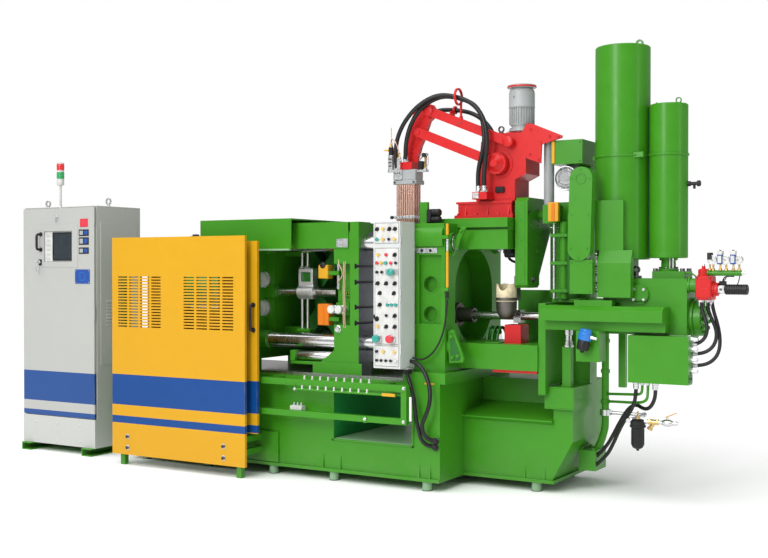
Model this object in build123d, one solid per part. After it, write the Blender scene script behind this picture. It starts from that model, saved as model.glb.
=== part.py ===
from build123d import *
import math
import os

# Cold-chamber die casting machine with its control cabinet, safety guards, spray
# robot, ladle and accumulators. Millimetres, +Z up, +X from the clamp end to the
# shot end, +Y away from the operator's side.
# The pieces are laid out about the machine's own centre plane (Y = 0 there), then
# all moved by SHIFT so that the origin is under the middle of the whole object.
SHIFT_X, SHIFT_Y = 8.5, 125.0

# ---- driving dimensions -------------------------------------------------------
Z_BASE = 62.0            # underside of the beds, on their levelling pads
Z_BED = 700.0            # top of the clamp bed
BED_HALF = 500.0         # half width of the clamp bed
BED_X0, BED_X1 = -1720.0, 930.0
Z_C = 1277.0             # centre of the four tie bars
TB = 340.0               # half of the tie bar spacing
TB_R = 52.5
Z_SHOT = 1130.0          # centre of the shot sleeve and plunger
PL_HALF = 430.0          # half width of the platens
FX0, FX1 = 700.0, 930.0  # fixed platen
MX0, MX1 = 200.0, 270.0  # die plate of the moving platen, die open
STROKE = 220.0
TOG_XR, TOG_XM = -420.0, -70.0   # toggle pivots on the rear and moving platens
TOG_H = 310.0
TOG_L = 287.0            # length of each toggle link
PIN_R = 28.0
GUARD_Y = -780.0
CAB_X0, CAB_X1 = -2790.0, -2000.0
CAB_Y0, CAB_Y1 = -620.0, -120.0
CAB_Z1 = 1928.0
PANEL = (522.0, 721.0, -650.0, -460.0, 800.0, 1750.0)   # operator panel
# spray robot: pivots of the two parallel arms, and the plane they swing in
SP_Y = -150.0
SP_LOW = (1176.0, 2136.0)
SP_VEC = (-591.0, 242.0)
SP_OFF = (80.0, 140.0)
# ladle: Y, Z of the arm's upper pivot and of the cup's pivot at its lower end
LADLE_PIV = (45.0, 1800.0)
CUP_PIV = (-60.0, 1375.0)
# accumulators: X, Y, radius, bottom, top
ACC1 = (1974.0, 0.0, 171.5, 1503.0, 2842.0)
ACC2 = (2269.0, 0.0, 117.0, 1511.0, 2462.0)

os.makedirs("parts", exist_ok=True)
NODES = {}


def box(x0, x1, y0, y1, z0, z1):
    return Pos((x0 + x1) / 2, (y0 + y1) / 2, (z0 + z1) / 2) * Box(x1 - x0, y1 - y0, z1 - z0)


def cyl(axis, a, b, p, r):
    """Cylinder from a to b along an axis, at the other two coordinates p."""
    h, m = b - a, (a + b) / 2
    if axis == "X":
        return Pos(m, p[0], p[1]) * Rot(0, 90, 0) * Cylinder(r, h)
    if axis == "Y":
        return Pos(p[0], m, p[1]) * Rot(90, 0, 0) * Cylinder(r, h)
    return Pos(p[0], p[1], m) * Cylinder(r, h)


def ring(axis, a, b, p, r, ri):
    return cyl(axis, a, b, p, r) - cyl(axis, a - 1, b + 1, p, ri)


def prism_y(points, y0, y1):
    """Solid between y0 and y1 with an outline of (x, z) points."""
    face = Face(Wire.make_polygon([Vector(x, y0, z) for x, z in points], close=True))
    return extrude(face, amount=y1 - y0, dir=(0, 1, 0))


def prism_x(points, x0, x1):
    """Solid between x0 and x1 with an outline of (y, z) points."""
    face = Face(Wire.make_polygon([Vector(x0, y, z) for y, z in points], close=True))
    return extrude(face, amount=x1 - x0, dir=(1, 0, 0))


def link_y(a, b, r, y0, y1, rb=None):
    """A straight link with round ends about the (x, z) points a and b, between y0 and y1."""
    rb = r if rb is None else rb
    dx, dz = b[0] - a[0], b[1] - a[1]
    n = math.hypot(dx, dz)
    ux, uz = -dz / n, dx / n
    body = prism_y([(a[0] + ux * r, a[1] + uz * r), (b[0] + ux * rb, b[1] + uz * rb),
                    (b[0] - ux * rb, b[1] - uz * rb), (a[0] - ux * r, a[1] - uz * r)], y0, y1)
    return body + cyl("Y", y0, y1, a, r) + cyl("Y", y0, y1, b, rb)


def link_z(a, b, r, y0, y1):
    """An upright obround boss about the (x, z) points a and b, between y0 and y1."""
    return box(a[0] - r, a[0] + r, y0, y1, a[1], b[1]) + cyl("Y", y0, y1, a, r) + cyl("Y", y0, y1, b, r)


def tube(points, r, radii=None):
    """Tube along straight runs joined by tangent arcs, each as large as its runs allow."""
    pts = [Vector(*p) for p in points]
    out = []
    for i in range(1, len(pts) - 1):
        a, b = pts[i] - pts[i - 1], pts[i + 1] - pts[i]
        turn = math.radians(a.get_angle(b))
        out.append(0.45 * min(a.length, b.length) / math.tan(turn / 2))
    path = FilletPolyline(*pts, radius=out)
    profile = Plane(origin=path @ 0, z_dir=path % 0) * Circle(r)
    solid = sweep(profile, path=path)
    print("tube r", r, "length", round(path.length), "radii", [round(x) for x in out],
          "volume ratio", round(solid.volume / (math.pi * r * r * path.length), 4))
    return solid


def put(name, *shapes):
    NODES[name] = list(shapes)


# ---- control cabinet ----------------------------------------------------------
shell = box(CAB_X0, CAB_X1, CAB_Y0 + 25, CAB_Y1, 60, CAB_Z1)
shell -= box(CAB_X0 + 15, CAB_X1 - 15, CAB_Y0 + 20, CAB_Y1 - 15, 290, CAB_Z1 - 15)
shell += box(CAB_X0, CAB_X1, CAB_Y0, CAB_Y0 + 25, 60, 280)
door = box(CAB_X0 + 6, CAB_X1 - 6, CAB_Y0, CAB_Y0 + 19, 286, CAB_Z1 - 8)
door -= box(-2549, -2243, CAB_Y0 - 1, CAB_Y0 + 12, 1500, 1738)      # display recess
door += box(-2500, -2290, CAB_Y0 + 19, CAB_Y0 + 60, 1515, 1722)     # display housing behind it
for z in (300, 1040, 1780):
    door += cyl("Z", z, z + 120, (CAB_X1 - 6, CAB_Y0), 7)
put("cabinet_door", door)


def channel(x0, x1, y0, y1, z0, z1, t):
    """A channel lying along Y, open to one side."""
    return box(x0, x1, y0, y1, z0, z1) - box(x0 + t, x1 + 1, y0 - 1, y1 + 1, z0 + t, z1 - t)


put("control_cabinet", shell + channel(-2775, -2675, -650, -90, 0, 60, 8) + channel(-2115, -2015, -650, -90, 0, 60, 8))
put("signal_tower", cyl("Z", CAB_Z1, 1940, (-2600, -400), 28) + cyl("Z", 1940, 2126, (-2600, -400), 10)
    + cyl("Z", 2126, 2308, (-2600, -400), 30))

# ---- safety guards ------------------------------------------------------------


def slotted(x0, x1, y0, y1, z0, z1, blocks):
    """A sheet panel with blocks of ventilation slots cut right through."""
    plate = box(x0, x1, y0, y1, z0, z1)
    cut = []
    for bx0, bx1, bz0, bz1, nx, nz in blocks:
        px, pz = (bx1 - bx0) / nx, (bz1 - bz0) / nz
        for i in range(nx):
            for k in range(nz):
                cx, cz = bx0 + (i + 0.5) * px, bz0 + (k + 0.5) * pz
                cut.append(box(cx - px * 0.42, cx + px * 0.42, y0 - 5, y1 + 5, cz - 5, cz + 5))
    return plate - cut


put("front_guard", slotted(-1662, -430, GUARD_Y, GUARD_Y + 22, 80, 1673,
                           [(-1612, -1180, 1012, 1394, 4, 18), (-985, -520, 1012, 1394, 4, 18)]))
put("guard_frame", box(-1600, -1560, -758, -718, 0, 1600) + box(-520, -480, -758, -718, 0, 1600)
    + box(-1560, -520, -758, -718, 1560, 1600) + box(-1560, -520, -758, -718, 100, 140)
    + box(-1600, -1560, -718, -500, 150, 190) + box(-520, -480, -718, -500, 150, 190)
    + box(-520, -480, -718, -500, 240, 280) + box(-1600, -1560, -718, -500, 240, 280)
    + box(-520, -340, -520, -500, 90, 300))
slide = box(-1386, -386, -700, -676, 305, 1637)
slide -= box(-1060, -720, -701, -670, 1165, 1505)
put("door_window", box(-1060, -720, -694, -682, 1165, 1505))
put("door_handle", box(-425, -405, -722, -700, 1012, 1032) + box(-425, -405, -722, -700, 1185, 1205)
    + box(-425, -405, -742, -722, 1012, 1205))
for x in (-1320, -470):
    slide += box(x - 30, x + 30, -676, -668, 470, 560) + cyl("Y", -668, -606, (x, 498), 16.5)
put("sliding_door", slide)
rail = box(-1440, 760, -640, -600, 655, 695) + box(-1440, 760, -640, -600, 440, 480)
rail += box(720, 760, -640, -600, 480, 655) + box(-1440, -1400, -640, -600, 480, 655)
for x in (-1300, -330, 560):
    rail += box(x, x + 40, -600, -500, 655, 695)
put("door_rail_frame", rail)

# ---- beds and feet ------------------------------------------------------------
bed = box(BED_X0, BED_X1, -BED_HALF, BED_HALF, 84, Z_BED)
bed -= box(114, 728, -BED_HALF - 10, BED_HALF + 10, 288, 610)
bed += box(BED_X0 - 15, BED_X1, -BED_HALF - 16, BED_HALF + 16, Z_BASE, 84)
bed += box(655, 968, -BED_HALF, BED_HALF, Z_BED, 771)
bed += box(-560, 640, -430, -320, Z_BED, 720) + box(-560, 640, 320, 430, Z_BED, 720)
bed += link_z((905, 300), (905, 342), 26, -BED_HALF - 14, -BED_HALF)        # conduit gland
bed += box(-960, 300, 478, 490, Z_BED, 1600)                                 # rear guard sheet
put("clamp_bed", bed)
shot = box(930, 1575, -162, BED_HALF + 10, Z_BASE, 84)
shot += prism_y([(930, 84), (1560, 84), (1700, 340), (1700, 460), (930, 460)], -150, BED_HALF)
shot += prism_x([(-150, 440), (-185, 462), (-185, 470), (150, 540), (150, 700), (BED_HALF, 700), (BED_HALF, 440)], 930, 1570)
shot += box(1520, 1720, -180, 160, 548, 690) + box(1570, 1700, 160, BED_HALF, 460, 700) + box(1570, 1700, -150, 160, 460, 548)
shot += box(1624, 1680, -138, -88, 690, 949) + cyl("Z", 949, 1072, (1653, -112), 18)
put("shot_bed", shot)
feet = []
for x in (-1600, -1000, -410, 100, 823):
    for y in (-472, 472):
        feet.append(cyl("Z", 0, Z_BASE, (x, y), 31))
feet += [cyl("Z", 0, Z_BASE, (1440, -118), 31), cyl("Z", 0, Z_BASE, (1440, 472), 31)]
put("levelling_feet", *feet)

# ---- clamp end ----------------------------------------------------------------
bars = [(sy * TB, Z_C + sz * TB) for sy in (-1, 1) for sz in (-1, 1)]
put("tie_bars", *[cyl("X", -960, 965, p, TB_R) for p in bars], *[cyl("X", -560, -30, (y, Z_C), 30) for y in (-230, 230)])
put("tie_bar_nuts", *[ring("X", FX1, 955, p, 66, TB_R) for p in bars], *[ring("X", -930, -850, p, 105, TB_R) for p in bars],
    *[ring("X", -640, -536, p, 66, TB_R) for p in bars])
rear = box(-850, -640, -PL_HALF, PL_HALF, 790, 1700) + box(-640, -560, -260, 260, 880, 1674)
for sz in (-1, 1):
    for sy in (-1, 1):
        y0, y1 = (70, 130) if sy > 0 else (-130, -70)
        rear += link_y((-560, Z_C + sz * TOG_H), (TOG_XR, Z_C + sz * TOG_H), 52, y0, y1)
    rear += cyl("Y", -130, 130, (TOG_XR, Z_C + sz * TOG_H), PIN_R)
for p in bars:
    rear -= cyl("X", -900, -500, p, TB_R)
rear += box(-850, -640, -430, -310, Z_BED, 790) + box(-850, -640, 310, 430, Z_BED, 790)
put("rear_platen", rear)
put("clamp_cylinder", cyl("X", -1660, -850, (0, Z_C), 135) + cyl("X", -1690, -1640, (0, Z_C), 165)
    + cyl("X", -900, -850, (0, Z_C), 175) + box(-1600, -1440, -80, 80, Z_C + 100, 1690))
mv = box(MX0, MX1, -PL_HALF, PL_HALF, 800, 1700) + box(20, MX0, -300, 300, 870, 1700)
mv += box(MX0, MX1, -PL_HALF, -275, 1700, 1765) + box(MX0, MX1, 275, PL_HALF, 1700, 1765)
for sz in (-1, 1):
    mv += link_y((60, Z_C + sz * TOG_H), (TOG_XM, Z_C + sz * TOG_H), 52, -60, 60)
    mv += cyl("Y", -130, 130, (TOG_XM, Z_C + sz * TOG_H), PIN_R)
for sy in (-1, 1):
    y0, y1 = (-440, -310) if sy < 0 else (310, 440)
    mv += box(-100, 300, y0, y1, 721.5, 800)
    mv += prism_y([(-40, 800), (MX0, 800), (MX0, 900), (90, 900)], y0 + 10, y1 - 10)
    mv += box(70, MX0, y0 + 10, y1 - 10, 1480, 1700) + box(70, MX0, y0 + 10, y1 - 10, 870, 1060)
for p in bars:
    mv -= cyl("X", -200, 400, p, TB_R + 1.0)
for z in (1075, 1183, 1354, 1462):
    mv -= box(MX1 - 32, MX1 + 1, -PL_HALF - 1, PL_HALF + 1, z - 9, z + 9)
    mv -= box(MX1 - 33, MX1 - 18, -PL_HALF - 1, PL_HALF + 1, z - 17, z + 17)
put("moving_platen", mv)
cover = box(-272, 190, -438, -430, 1585, 1765) + box(-272, 190, 430, 438, 1585, 1765) + box(-272, 190, -438, 438, 1757, 1765)
cover += box(90, 190, -300, 300, 1700, 1757)
put("platen_cover", cover)
for name, sz in (("upper", 1), ("lower", -1)):
    dz = math.sqrt(TOG_L ** 2 - ((TOG_XM - TOG_XR) / 2) ** 2)
    elbow = ((TOG_XR + TOG_XM) / 2, Z_C + sz * (TOG_H - dz))
    a, b = (TOG_XR, Z_C + sz * TOG_H), (TOG_XM, Z_C + sz * TOG_H)
    r = link_y(a, elbow, 48, -60, 60) - cyl("Y", -70, 70, a, PIN_R + 0.5) + cyl("Y", -66, 66, elbow, 26)
    put(name + "_rear_link", r)
    f = link_y(b, elbow, 48, 70, 130) + link_y(b, elbow, 48, -130, -70)
    mid = (b[0] * 0.55 + elbow[0] * 0.45, b[1] * 0.55 + elbow[1] * 0.45)
    f += cyl("Y", -75, 75, mid, 22)
    f -= cyl("Y", -140, 140, b, PIN_R + 0.5)
    put(name + "_front_link", f)
    if sz > 0:
        print("toggle: elbow", elbow, "turn deg",
              math.degrees(math.acos((TOG_XM - TOG_XR) / 2 / TOG_L) - math.acos((TOG_XM - TOG_XR + STROKE) / 2 / TOG_L)))
put("clamp_cover", box(-1030, -220, -530, -520, 1572, 1795) + box(-1030, -220, 520, 530, 1572, 1795)
    + box(-1030, -220, -530, 530, 1785, 1795) + box(-1030, -1020, -530, 530, 1702, 1795)
    + box(-830, -660, -520, -430, 1660, 1700) + box(-830, -660, 430, 520, 1660, 1700))

# ---- fixed platen and operator panel ------------------------------------------
fp = box(FX0, FX1, -PL_HALF, PL_HALF, 771, 1717)
pocket = box(FX0 + 80, FX1 + 1, -285, 285, 1085, 1300) + cyl("X", FX0 + 80, FX1 + 1, (0, 1300), 285) + cyl("X", FX0 + 80, FX1 + 1, (0, 1220), 285)
fp -= pocket
fp -= cyl("X", FX0 - 1, FX1, (0, Z_SHOT), 50)
for p in bars:
    fp -= cyl("X", FX0 - 10, FX1 + 10, p, TB_R)
for sy in (-1, 1):
    y0, y1 = (-PL_HALF - 1, -400) if sy < 0 else (400, PL_HALF + 1)
    fp -= box(738, 905, y0, y1, 1085, 1535)
for z in (1344, 1147):
    fp -= cyl("Y", -PL_HALF - 1, -350, (810, z), 52)
    fp -= cyl("Y", 350, PL_HALF + 1, (810, z), 52)
fp += box(702, 720, -460, -430, 980, 1080) + box(702, 720, -460, -430, 1560, 1660)
fp += cyl("Z", 1248, 1735, (955, -445), 8) + box(922, 966, -456, -430, 1300, 1322) + box(922, 966, -456, -430, 1640, 1662)
put("fixed_platen", fp)
px0, px1, py0, py1, pz0, pz1 = PANEL
put("operator_panel", box(*PANEL))

# ---- shot end -----------------------------------------------------------------
table = box(FX1, 1285, -235, 235, 1574, 1700) + box(FX1, 1290, -205, 205, 1700, 1717)
table += box(FX0 + 5, 1290, -250, 250, 1717, 1778) + box(FX0 + 5, FX1 - 5, -430, -250, 1717, 1742)
frame = box(968, 1500, -250, 250, 790, 955) + box(FX1, 1000, -250, 250, 790, 955)
plate = box(1500, 1548, -235, 250, 640, 1225) - box(1490, 1560, -190, 260, 630, 700)
frame += plate - cyl("X", 1490, 1560, (0, Z_SHOT), 75)
rail_l = [(-300, 1121), (-300, 1190), (-262, 1250), (-150, 1250), (-150, 1060), (-240, 1060), (-240, 1121)]
rail_n = [(-300, 1121), (-300, 1190), (-262, 1215), (-150, 1215), (-150, 1060), (-240, 1060), (-240, 1121)]
frame += prism_x(rail_n, 1548, 2320) + prism_x([(-y, z) for y, z in rail_l], 1548, 2320)
frame += box(1751, 1994, -262, -200, 1190, 1250) + box(1150, 1412, 238, 250, 955, 1300)
frame += box(1560, 1700, 160, 290, 700, 1060)
frame += box(1778, 1928, -300, -180, 871, 1060)
put("shot_frame", frame, table)
put("drip_trays", box(1180, 1490, -235, 200, 772, 790),
    box(1225, 1340, -150, -20, 955, 1078) - box(1232, 1333, -143, -27, 965, 1079))
put("shot_sleeve", ring("X", 705, 935, (0, Z_SHOT), 49.5, 32) + ring("X", 780, 815, (0, Z_SHOT), 82, 32))
pl = cyl("X", 650, 1420, (0, Z_SHOT), 27) + cyl("X", 590, 655, (0, Z_SHOT), 30) + cyl("X", 1420, 1485, (0, Z_SHOT), 46)
pl += cyl("X", 1485, 2000, (0, Z_SHOT), 34) + box(1238, 1290, -38, 38, Z_SHOT - 44, Z_SHOT + 40)
put("plunger_rod", pl)
blk = box(1900, 2425, -150, 150, 1040, 1385) - cyl("X", 1880, 2380, (0, Z_SHOT), 40)
blk += cyl("X", 2425, 2490, (0, 1142), 108)
blk += cyl("Y", -168, -150, (2134, 1287), 60) - box(2000, 2300, -170, -150, 1200, 1250)
blk += box(2190, 2390, -80, 100, 1385, 1430) + box(1905, 2040, -40, 120, 1385, ACC1[3])
blk += box(1945, 1990, 10, 50, 690, 1040)                                       # pipe bracket
put("shot_cylinder_block", blk)
acc = []
for x, y, r, z0, z1 in (ACC1, ACC2):
    a = cyl("Z", z0 + 6, z1 - 6, (x, y), r)
    a += Pos(x, y, z1 - 3) * Cone(r, r - 5, 6) + Pos(x, y, z0 + 3) * Cone(r - 5, r, 6)
    acc.append(a)
acc[0] += cyl("Y", -7, 7, (2082, 2861), 24) + box(2070, 2094, -7, 7, 2838, 2850) - cyl("Y", -8, 8, (2082, 2861), 13)      # lifting eye
acc[1] += cyl("Z", 1430, ACC2[3], ACC2[:2], 42)
put("accumulators", *acc)
valve_covers = box(1865, 2045, -200, -176, 1560, 1870)
valve_covers += prism_x([(-240, 1268), (-240, 1480), (-200, 1560), (-176, 1560), (-176, 1500), (-152, 1480), (-152, 1268)], 1893, 2068)
valve_covers += prism_x([(-240, 1268), (-240, 1480), (-200, 1560), (-176, 1560), (-176, 1268)], 2068, 2105)
manifold = box(2093, 2463, -250, -160, 752, 1040) + box(2100, 2320, -160, -150, 1000, 1040)
sv = box(2478, 2572, -165, -40, 1258, 1402) + cyl("Z", 1402, 1444, (2512, -100), 32) + cyl("X", 2572, 2600, (-100, 1322), 40)
sv += cyl("X", 2600, 2642, (-100, 1322), 24) + cyl("X", 2642, 2773, (-100, 1322), 31)
sv += cyl("X", 2425, 2478, (-100, 1345), 42)
put("servo_valve", sv)
gg = cyl("X", 2544.5, 2742, (-108, 1420), 17)
for x in (2572, 2648, 2724):
    gg += cyl("Z", 1430, 1475, (x, -108), 7) + cyl("Y", -140, -112, (x, 1497), 26) + cyl("Y", -115, -101, (x, 1480), 7)
put("pressure_gauges", gg)
op = cyl("Z", 470, 1060, (1792, 200), 24)
op += tube([(1792, 200, 470), (1792, 200, 400), (1772, 190, 320), (1745, 175, 255)], 24)
op += box(1660, 1775, 60, 260, 130, 262)
put("oil_manifold", manifold, op)
regulator = Pos(1850, -345, 1010) * Rot(0, 12, 0) * Cylinder(42, 130) + box(1822, 1880, -345, -300, 985, 1030)
wf = cyl("Z", 326, 462, (2108, -100), 39) + cyl("Z", 462, 512, (2108, -100), 48)
wf += cyl("X", 2041, 2108, (-100, 500), 11) + cyl("X", 2108, 2360, (-100, 500), 13) + cyl("Y", -111, 211, (2052, 500), 11)
wf += cyl("X", 1810, 2063, (200, 500), 11) + box(1765, 1820, 170, 230, 478, 522) - cyl("Z", 400, 600, (1792, 200), 24)
put("service_units", regulator, wf)

# ---- spray robot --------------------------------------------------------------
p1 = SP_LOW
p2 = (p1[0] + SP_OFF[0], p1[1] + SP_OFF[1])
q1 = (p1[0] + SP_VEC[0], p1[1] + SP_VEC[1])
q2 = (p2[0] + SP_VEC[0], p2[1] + SP_VEC[1])
Y0, Y1 = SP_Y - 20, SP_Y + 20
tur = box(860, 1285, SP_Y - 10, 160, 1778, 1802) + box(880, 1270, SP_Y + 8, 140, 1802, 1878) + box(868, 1278, SP_Y, 150, 1878, 1892)
tur += prism_y([(1004, 1892), (1285, 1892), (1285, 2030), (1362, 2066), (1362, 2290), (1040, 2290)], Y1 + 8, 110)
tur += prism_y([(1040, 2280), (1126, 2262), (1362, 2170), (1362, 2330), (1200, 2340), (1095, 2352)], Y1 + 8, 70)
tur += prism_y([(1362, 2168), (1466, 2128), (1472, 2250), (1612, 2285), (1612, 2300), (1405, 2389), (1366, 2389), (1330, 2330)], Y1 + 8, Y1 + 24)
tur += box(1215, 1385, Y1 + 24, 60, 2320, 2345)
tur += box(1026, 1132, -228, Y1 + 8, 1902, 1950)      # hose fittings block
for p in (p1, p2):
    tur += cyl("Y", Y0 - 5, Y1 + 20, p, 19)
put("sprayer_turret", tur)
lo = link_y(p1, q1, 31, Y0, Y1) + cyl("Y", Y0 - 12, Y1, p1, 70)
lo = lo - cyl("Y", Y0 - 8, 0, p1, 19.4) - cyl("Y", -400, 0, q1, 15.4)
lo += Pos(p1[0], Y0 - 27, p1[1]) * Rot(90, 0, 0) * Cone(56, 24, 30)
put("sprayer_lower_arm", lo)
up = link_y(p2, q2, 30, Y0, Y1) - cyl("Y", -400, 0, p2, 19.4) - cyl("Y", -400, 0, q2, 15.4)
up += cyl("Z", 2415, 2562, (905, SP_Y), 8) + ring("X", 898, 912, (SP_Y - 40, 2592), 58, 47)
up += ring("X", 808, 822, (-60, 2525), 28, 20) + box(808, 822, SP_Y + 18, -76, 2470, 2510)
put("sprayer_upper_arm", up)
w = prism_y([(469, 2172), (467, 2220), (478, 2385), (508, 2480), (548, 2556), (610, 2580), (668, 2566), (704, 2518), (690, 2486),
             (650, 2456), (628, 2400), (612, 2350), (580, 2290), (560, 2220), (556, 2172)], Y1 + 6, Y1 + 44)
w += cyl("Y", Y0 - 6, Y1 + 10, q1, 15) + cyl("Y", Y0 - 6, Y1 + 10, q2, 15)
w += box(469, 556, Y0 - 36, Y1 + 44, 2125, 2175)
put("sprayer_wrist", w)
head = box(414, 590, SP_Y - 60, SP_Y + 60, 2022, 2125) + box(490, 550, SP_Y + 66, SP_Y + 116, 2060, 2150) + box(490, 550, SP_Y + 50, SP_Y + 70, 2060, 2120)
for i in range(8):
    for j in range(4):
        head += cyl("Z", 1727, 2024, (439 + 18 * i, SP_Y - 42 + 27 * j), 5)
head += box(428, 576, SP_Y - 52, SP_Y + 49, 1800, 1816)
put("spray_head", head)

# ---- ladle --------------------------------------------------------------------
ly, lz = LADLE_PIV
cy, cz = CUP_PIV
arm = prism_x([(-150, 1340), (-150, 1885), (-122, 1910), (212, 1910), (240, 1880), (240, 1690), (48, 1400), (48, 1340), (20, 1320), (-122, 1320)], 1300, 1387)
arm -= cyl("X", 1290, 1400, (ly, lz), 30.5)
arm -= cyl("X", 1290, 1400, (cy, cz), 15.4)
put("ladle_arm", arm)
cup = cyl("Z", 1180, 1345, (1228, -124), 68) + Pos(1228, -124, 1180) * Sphere(68) - cyl("Z", 1185, 1400, (1228, -124), 58)
cup += cyl("X", 1285, 1392, (cy, cz), 15) + box(1278, 1292, -110, -40, 1260, 1395)
put("ladle_cup", cup)
col = box(1560, 1700, 160, 290, 1250, 2118) + box(1465, 1700, 20, 160, 1720, 1880) + box(1465, 1560, -82, 20, 1740, 1860)
col += cyl("X", 1294, 1470, (ly, lz), 30) + box(1529, 1742, -100, 290, 2118, 2272)
col += cyl("Z", 1860, 2275, (1492, -40), 32)
col += box(1700, 1785, -240, 290, 1700, 1790) + box(1415, 1560, 170, 290, 1250, 1720)
put("ladle_column", col)
put("side_covers", link_y((1808, 2003), (1796, 1570), 74, -300, -240, 74) + box(1732, 1880, -290, -245, 1290, 1500), valve_covers)
put("drive_motors", cyl("Z", 2345, 2380, (1301, -45), 70) + cyl("Z", 2380, 2640, (1301, -45), 84) + cyl("Z", 2640, 2654, (1301, -45), 95),
    cyl("Y", -70, 160, (1617, 2030), 78))

# ---- cords and hoses ----------------------------------------------------------
CORDS = {
    "panel_conduit_a": (13, [(700, -540, 830), (708, -541, 765), (740, -550, 695), (773, -562, 610), (789, -570, 520), (800, -572, 450), (815, -567, 394), (822, -561, 350), (841, -546, 317), (870, -525, 299), (905, -494, 296)]),
    "panel_conduit_b": (13, [(700, -515, 846), (760, -520, 840), (818, -528, 800), (866, -542, 728), (893, -558, 645), (893, -574, 570), (872, -583, 505), (846, -581, 456), (838, -572, 418), (845, -564, 383), (862, -549, 354), (886, -527, 338), (908, -494, 334)]),
    "platen_cable": (6, [(712, -490, 868), (760, -486, 848), (822, -478, 862), (884, -468, 920), (928, -457, 1015), (950, -447, 1135), (955, -445, 1254)]),
    "spray_hose_rise_a": (15, [(1050, -180, 1940), (1046, -184, 2030), (1056, -190, 2120), (1085, -196, 2205), (1102, -198, 2290), (1094, -196, 2380), (1075, -193, 2457), (1041, -187, 2513), (978, -180.3, 2560.1), (905.5, -175.5, 2582.84)]),
    "spray_hose_rise_b": (15, [(1105, -208, 1940), (1104, -214, 2040), (1116, -222, 2140), (1132, -228, 2230), (1136, -232, 2320), (1120, -232, 2408), (1070, -226, 2494), (985, -214.5, 2562), (905.5, -209.53, 2586.84)]),
    "spray_hose_rise_c": (15, [(1108, -60, 2330), (1086, -60, 2374), (1046, -60, 2424), (984, -60, 2476), (897, -60, 2513.2), (815.5, -60, 2524.9)]),
    "spray_hose_fall_a": (15, [(905, -175.4, 2583), (819, -169.7, 2610), (715, -184, 2594), (615, -197, 2530), (548, -202, 2435), (514, -202, 2335), (502, -197, 2245), (499, -188, 2156)]),
    "spray_hose_fall_b": (15, [(905, -209.5, 2587), (819, -204.2, 2614), (715, -218, 2602), (605, -231, 2540), (520, -234, 2452), (464, -230, 2360), (438, -220, 2270), (434, -206, 2190), (434, -192, 2112)]),
    "spray_hose_fall_c": (15, [(815, -60, 2525), (735, -60, 2536.5), (641, -60, 2523.3), (570, -60, 2479), (528, -60, 2410), (511, -60, 2328), (508, -60, 2235), (510, -60, 2142)]),
    "shot_hose_a": (11, [(2504, -136, 1266), (2508, -140, 1215), (2528, -150, 1164), (2548, -160, 1118), (2553, -168, 1074), (2541, -173, 1034), (2513, -176, 1006), (2482, -176, 995), (2452, -176, 994)]),
    "shot_hose_b": (11, [(2534, -106, 1266), (2538, -110, 1210), (2562, -114, 1150), (2590, -120, 1095), (2599, -128, 1040), (2585, -136, 987), (2546, -146, 949), (2493, -158, 935), (2455, -166, 935)]),
    "shot_hose_c": (11, [(2556, -84, 1266), (2564, -86, 1205), (2590, -92, 1130), (2610, -102, 1055), (2615, -114, 980), (2600, -128, 922), (2558, -144, 880), (2500, -158, 865), (2455, -168, 865)]),
    "return_hose_a": (12, [(2250, -200, 760), (2250, -196, 700), (2238, -180, 645), (2200, -148, 590), (2145, -98, 575), (2080, -34, 595), (2010, 30, 565), (1945, 70, 480), (1885, 92, 375), (1832, 100, 285), (1768, 100, 222)]),
    "return_hose_b": (12, [(2130, -200, 760), (2128, -196, 690), (2112, -178, 620), (2070, -128, 560), (2016, -66, 500), (1956, -4, 420), (1900, 44, 320), (1844, 74, 232), (1768, 86, 165)]),
}
for name, (r, pts) in CORDS.items():
    put(name, tube(pts, r))

# ---- write --------------------------------------------------------------------
lo3, hi3 = [1e9] * 3, [-1e9] * 3
for name, shapes in NODES.items():
    moved = []
    for s in shapes:
        for solid in s.solids():
            moved.append(solid.moved(Location((SHIFT_X, SHIFT_Y, 0))))
    whole = moved[0] if len(moved) == 1 else Compound(children=moved)
    b = whole.bounding_box()
    lo3 = [min(a, c) for a, c in zip(lo3, tuple(b.min))]
    hi3 = [max(a, c) for a, c in zip(hi3, tuple(b.max))]
    export_step(whole, f"parts/{name}.step")
print("nodes", len(NODES), "box", [round(v, 1) for v in lo3], [round(v, 1) for v in hi3],
      "centre", [round((a + c) / 2, 2) for a, c in zip(lo3, hi3)])
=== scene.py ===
import math
import random

import bpy
import bmesh
from mathutils import Matrix, Vector


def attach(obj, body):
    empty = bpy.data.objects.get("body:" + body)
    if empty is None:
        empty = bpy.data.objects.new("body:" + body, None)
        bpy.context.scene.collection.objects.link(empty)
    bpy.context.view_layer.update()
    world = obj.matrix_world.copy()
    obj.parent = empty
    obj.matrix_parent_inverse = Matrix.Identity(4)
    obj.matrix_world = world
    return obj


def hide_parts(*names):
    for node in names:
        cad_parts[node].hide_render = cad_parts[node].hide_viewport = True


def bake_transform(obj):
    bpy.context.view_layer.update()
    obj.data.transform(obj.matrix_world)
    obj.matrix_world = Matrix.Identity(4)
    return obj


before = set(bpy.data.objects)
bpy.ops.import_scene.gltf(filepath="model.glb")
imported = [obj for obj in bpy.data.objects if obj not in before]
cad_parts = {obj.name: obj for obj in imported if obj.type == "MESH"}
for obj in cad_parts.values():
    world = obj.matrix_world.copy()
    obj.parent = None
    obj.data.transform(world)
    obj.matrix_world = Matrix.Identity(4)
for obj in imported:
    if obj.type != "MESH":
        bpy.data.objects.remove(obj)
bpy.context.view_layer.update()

scene = bpy.context.scene
rnd = random.Random(7)

# The machine's own layout is in millimetres about its centre plane; this shift puts it
# in the frame that the CAD uses.
SHIFT_X, SHIFT_Y = 8.5, 125.0


def W(x, y, z):
    return Vector(((x + SHIFT_X) / 1000.0, (y + SHIFT_Y) / 1000.0, z / 1000.0))


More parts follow.
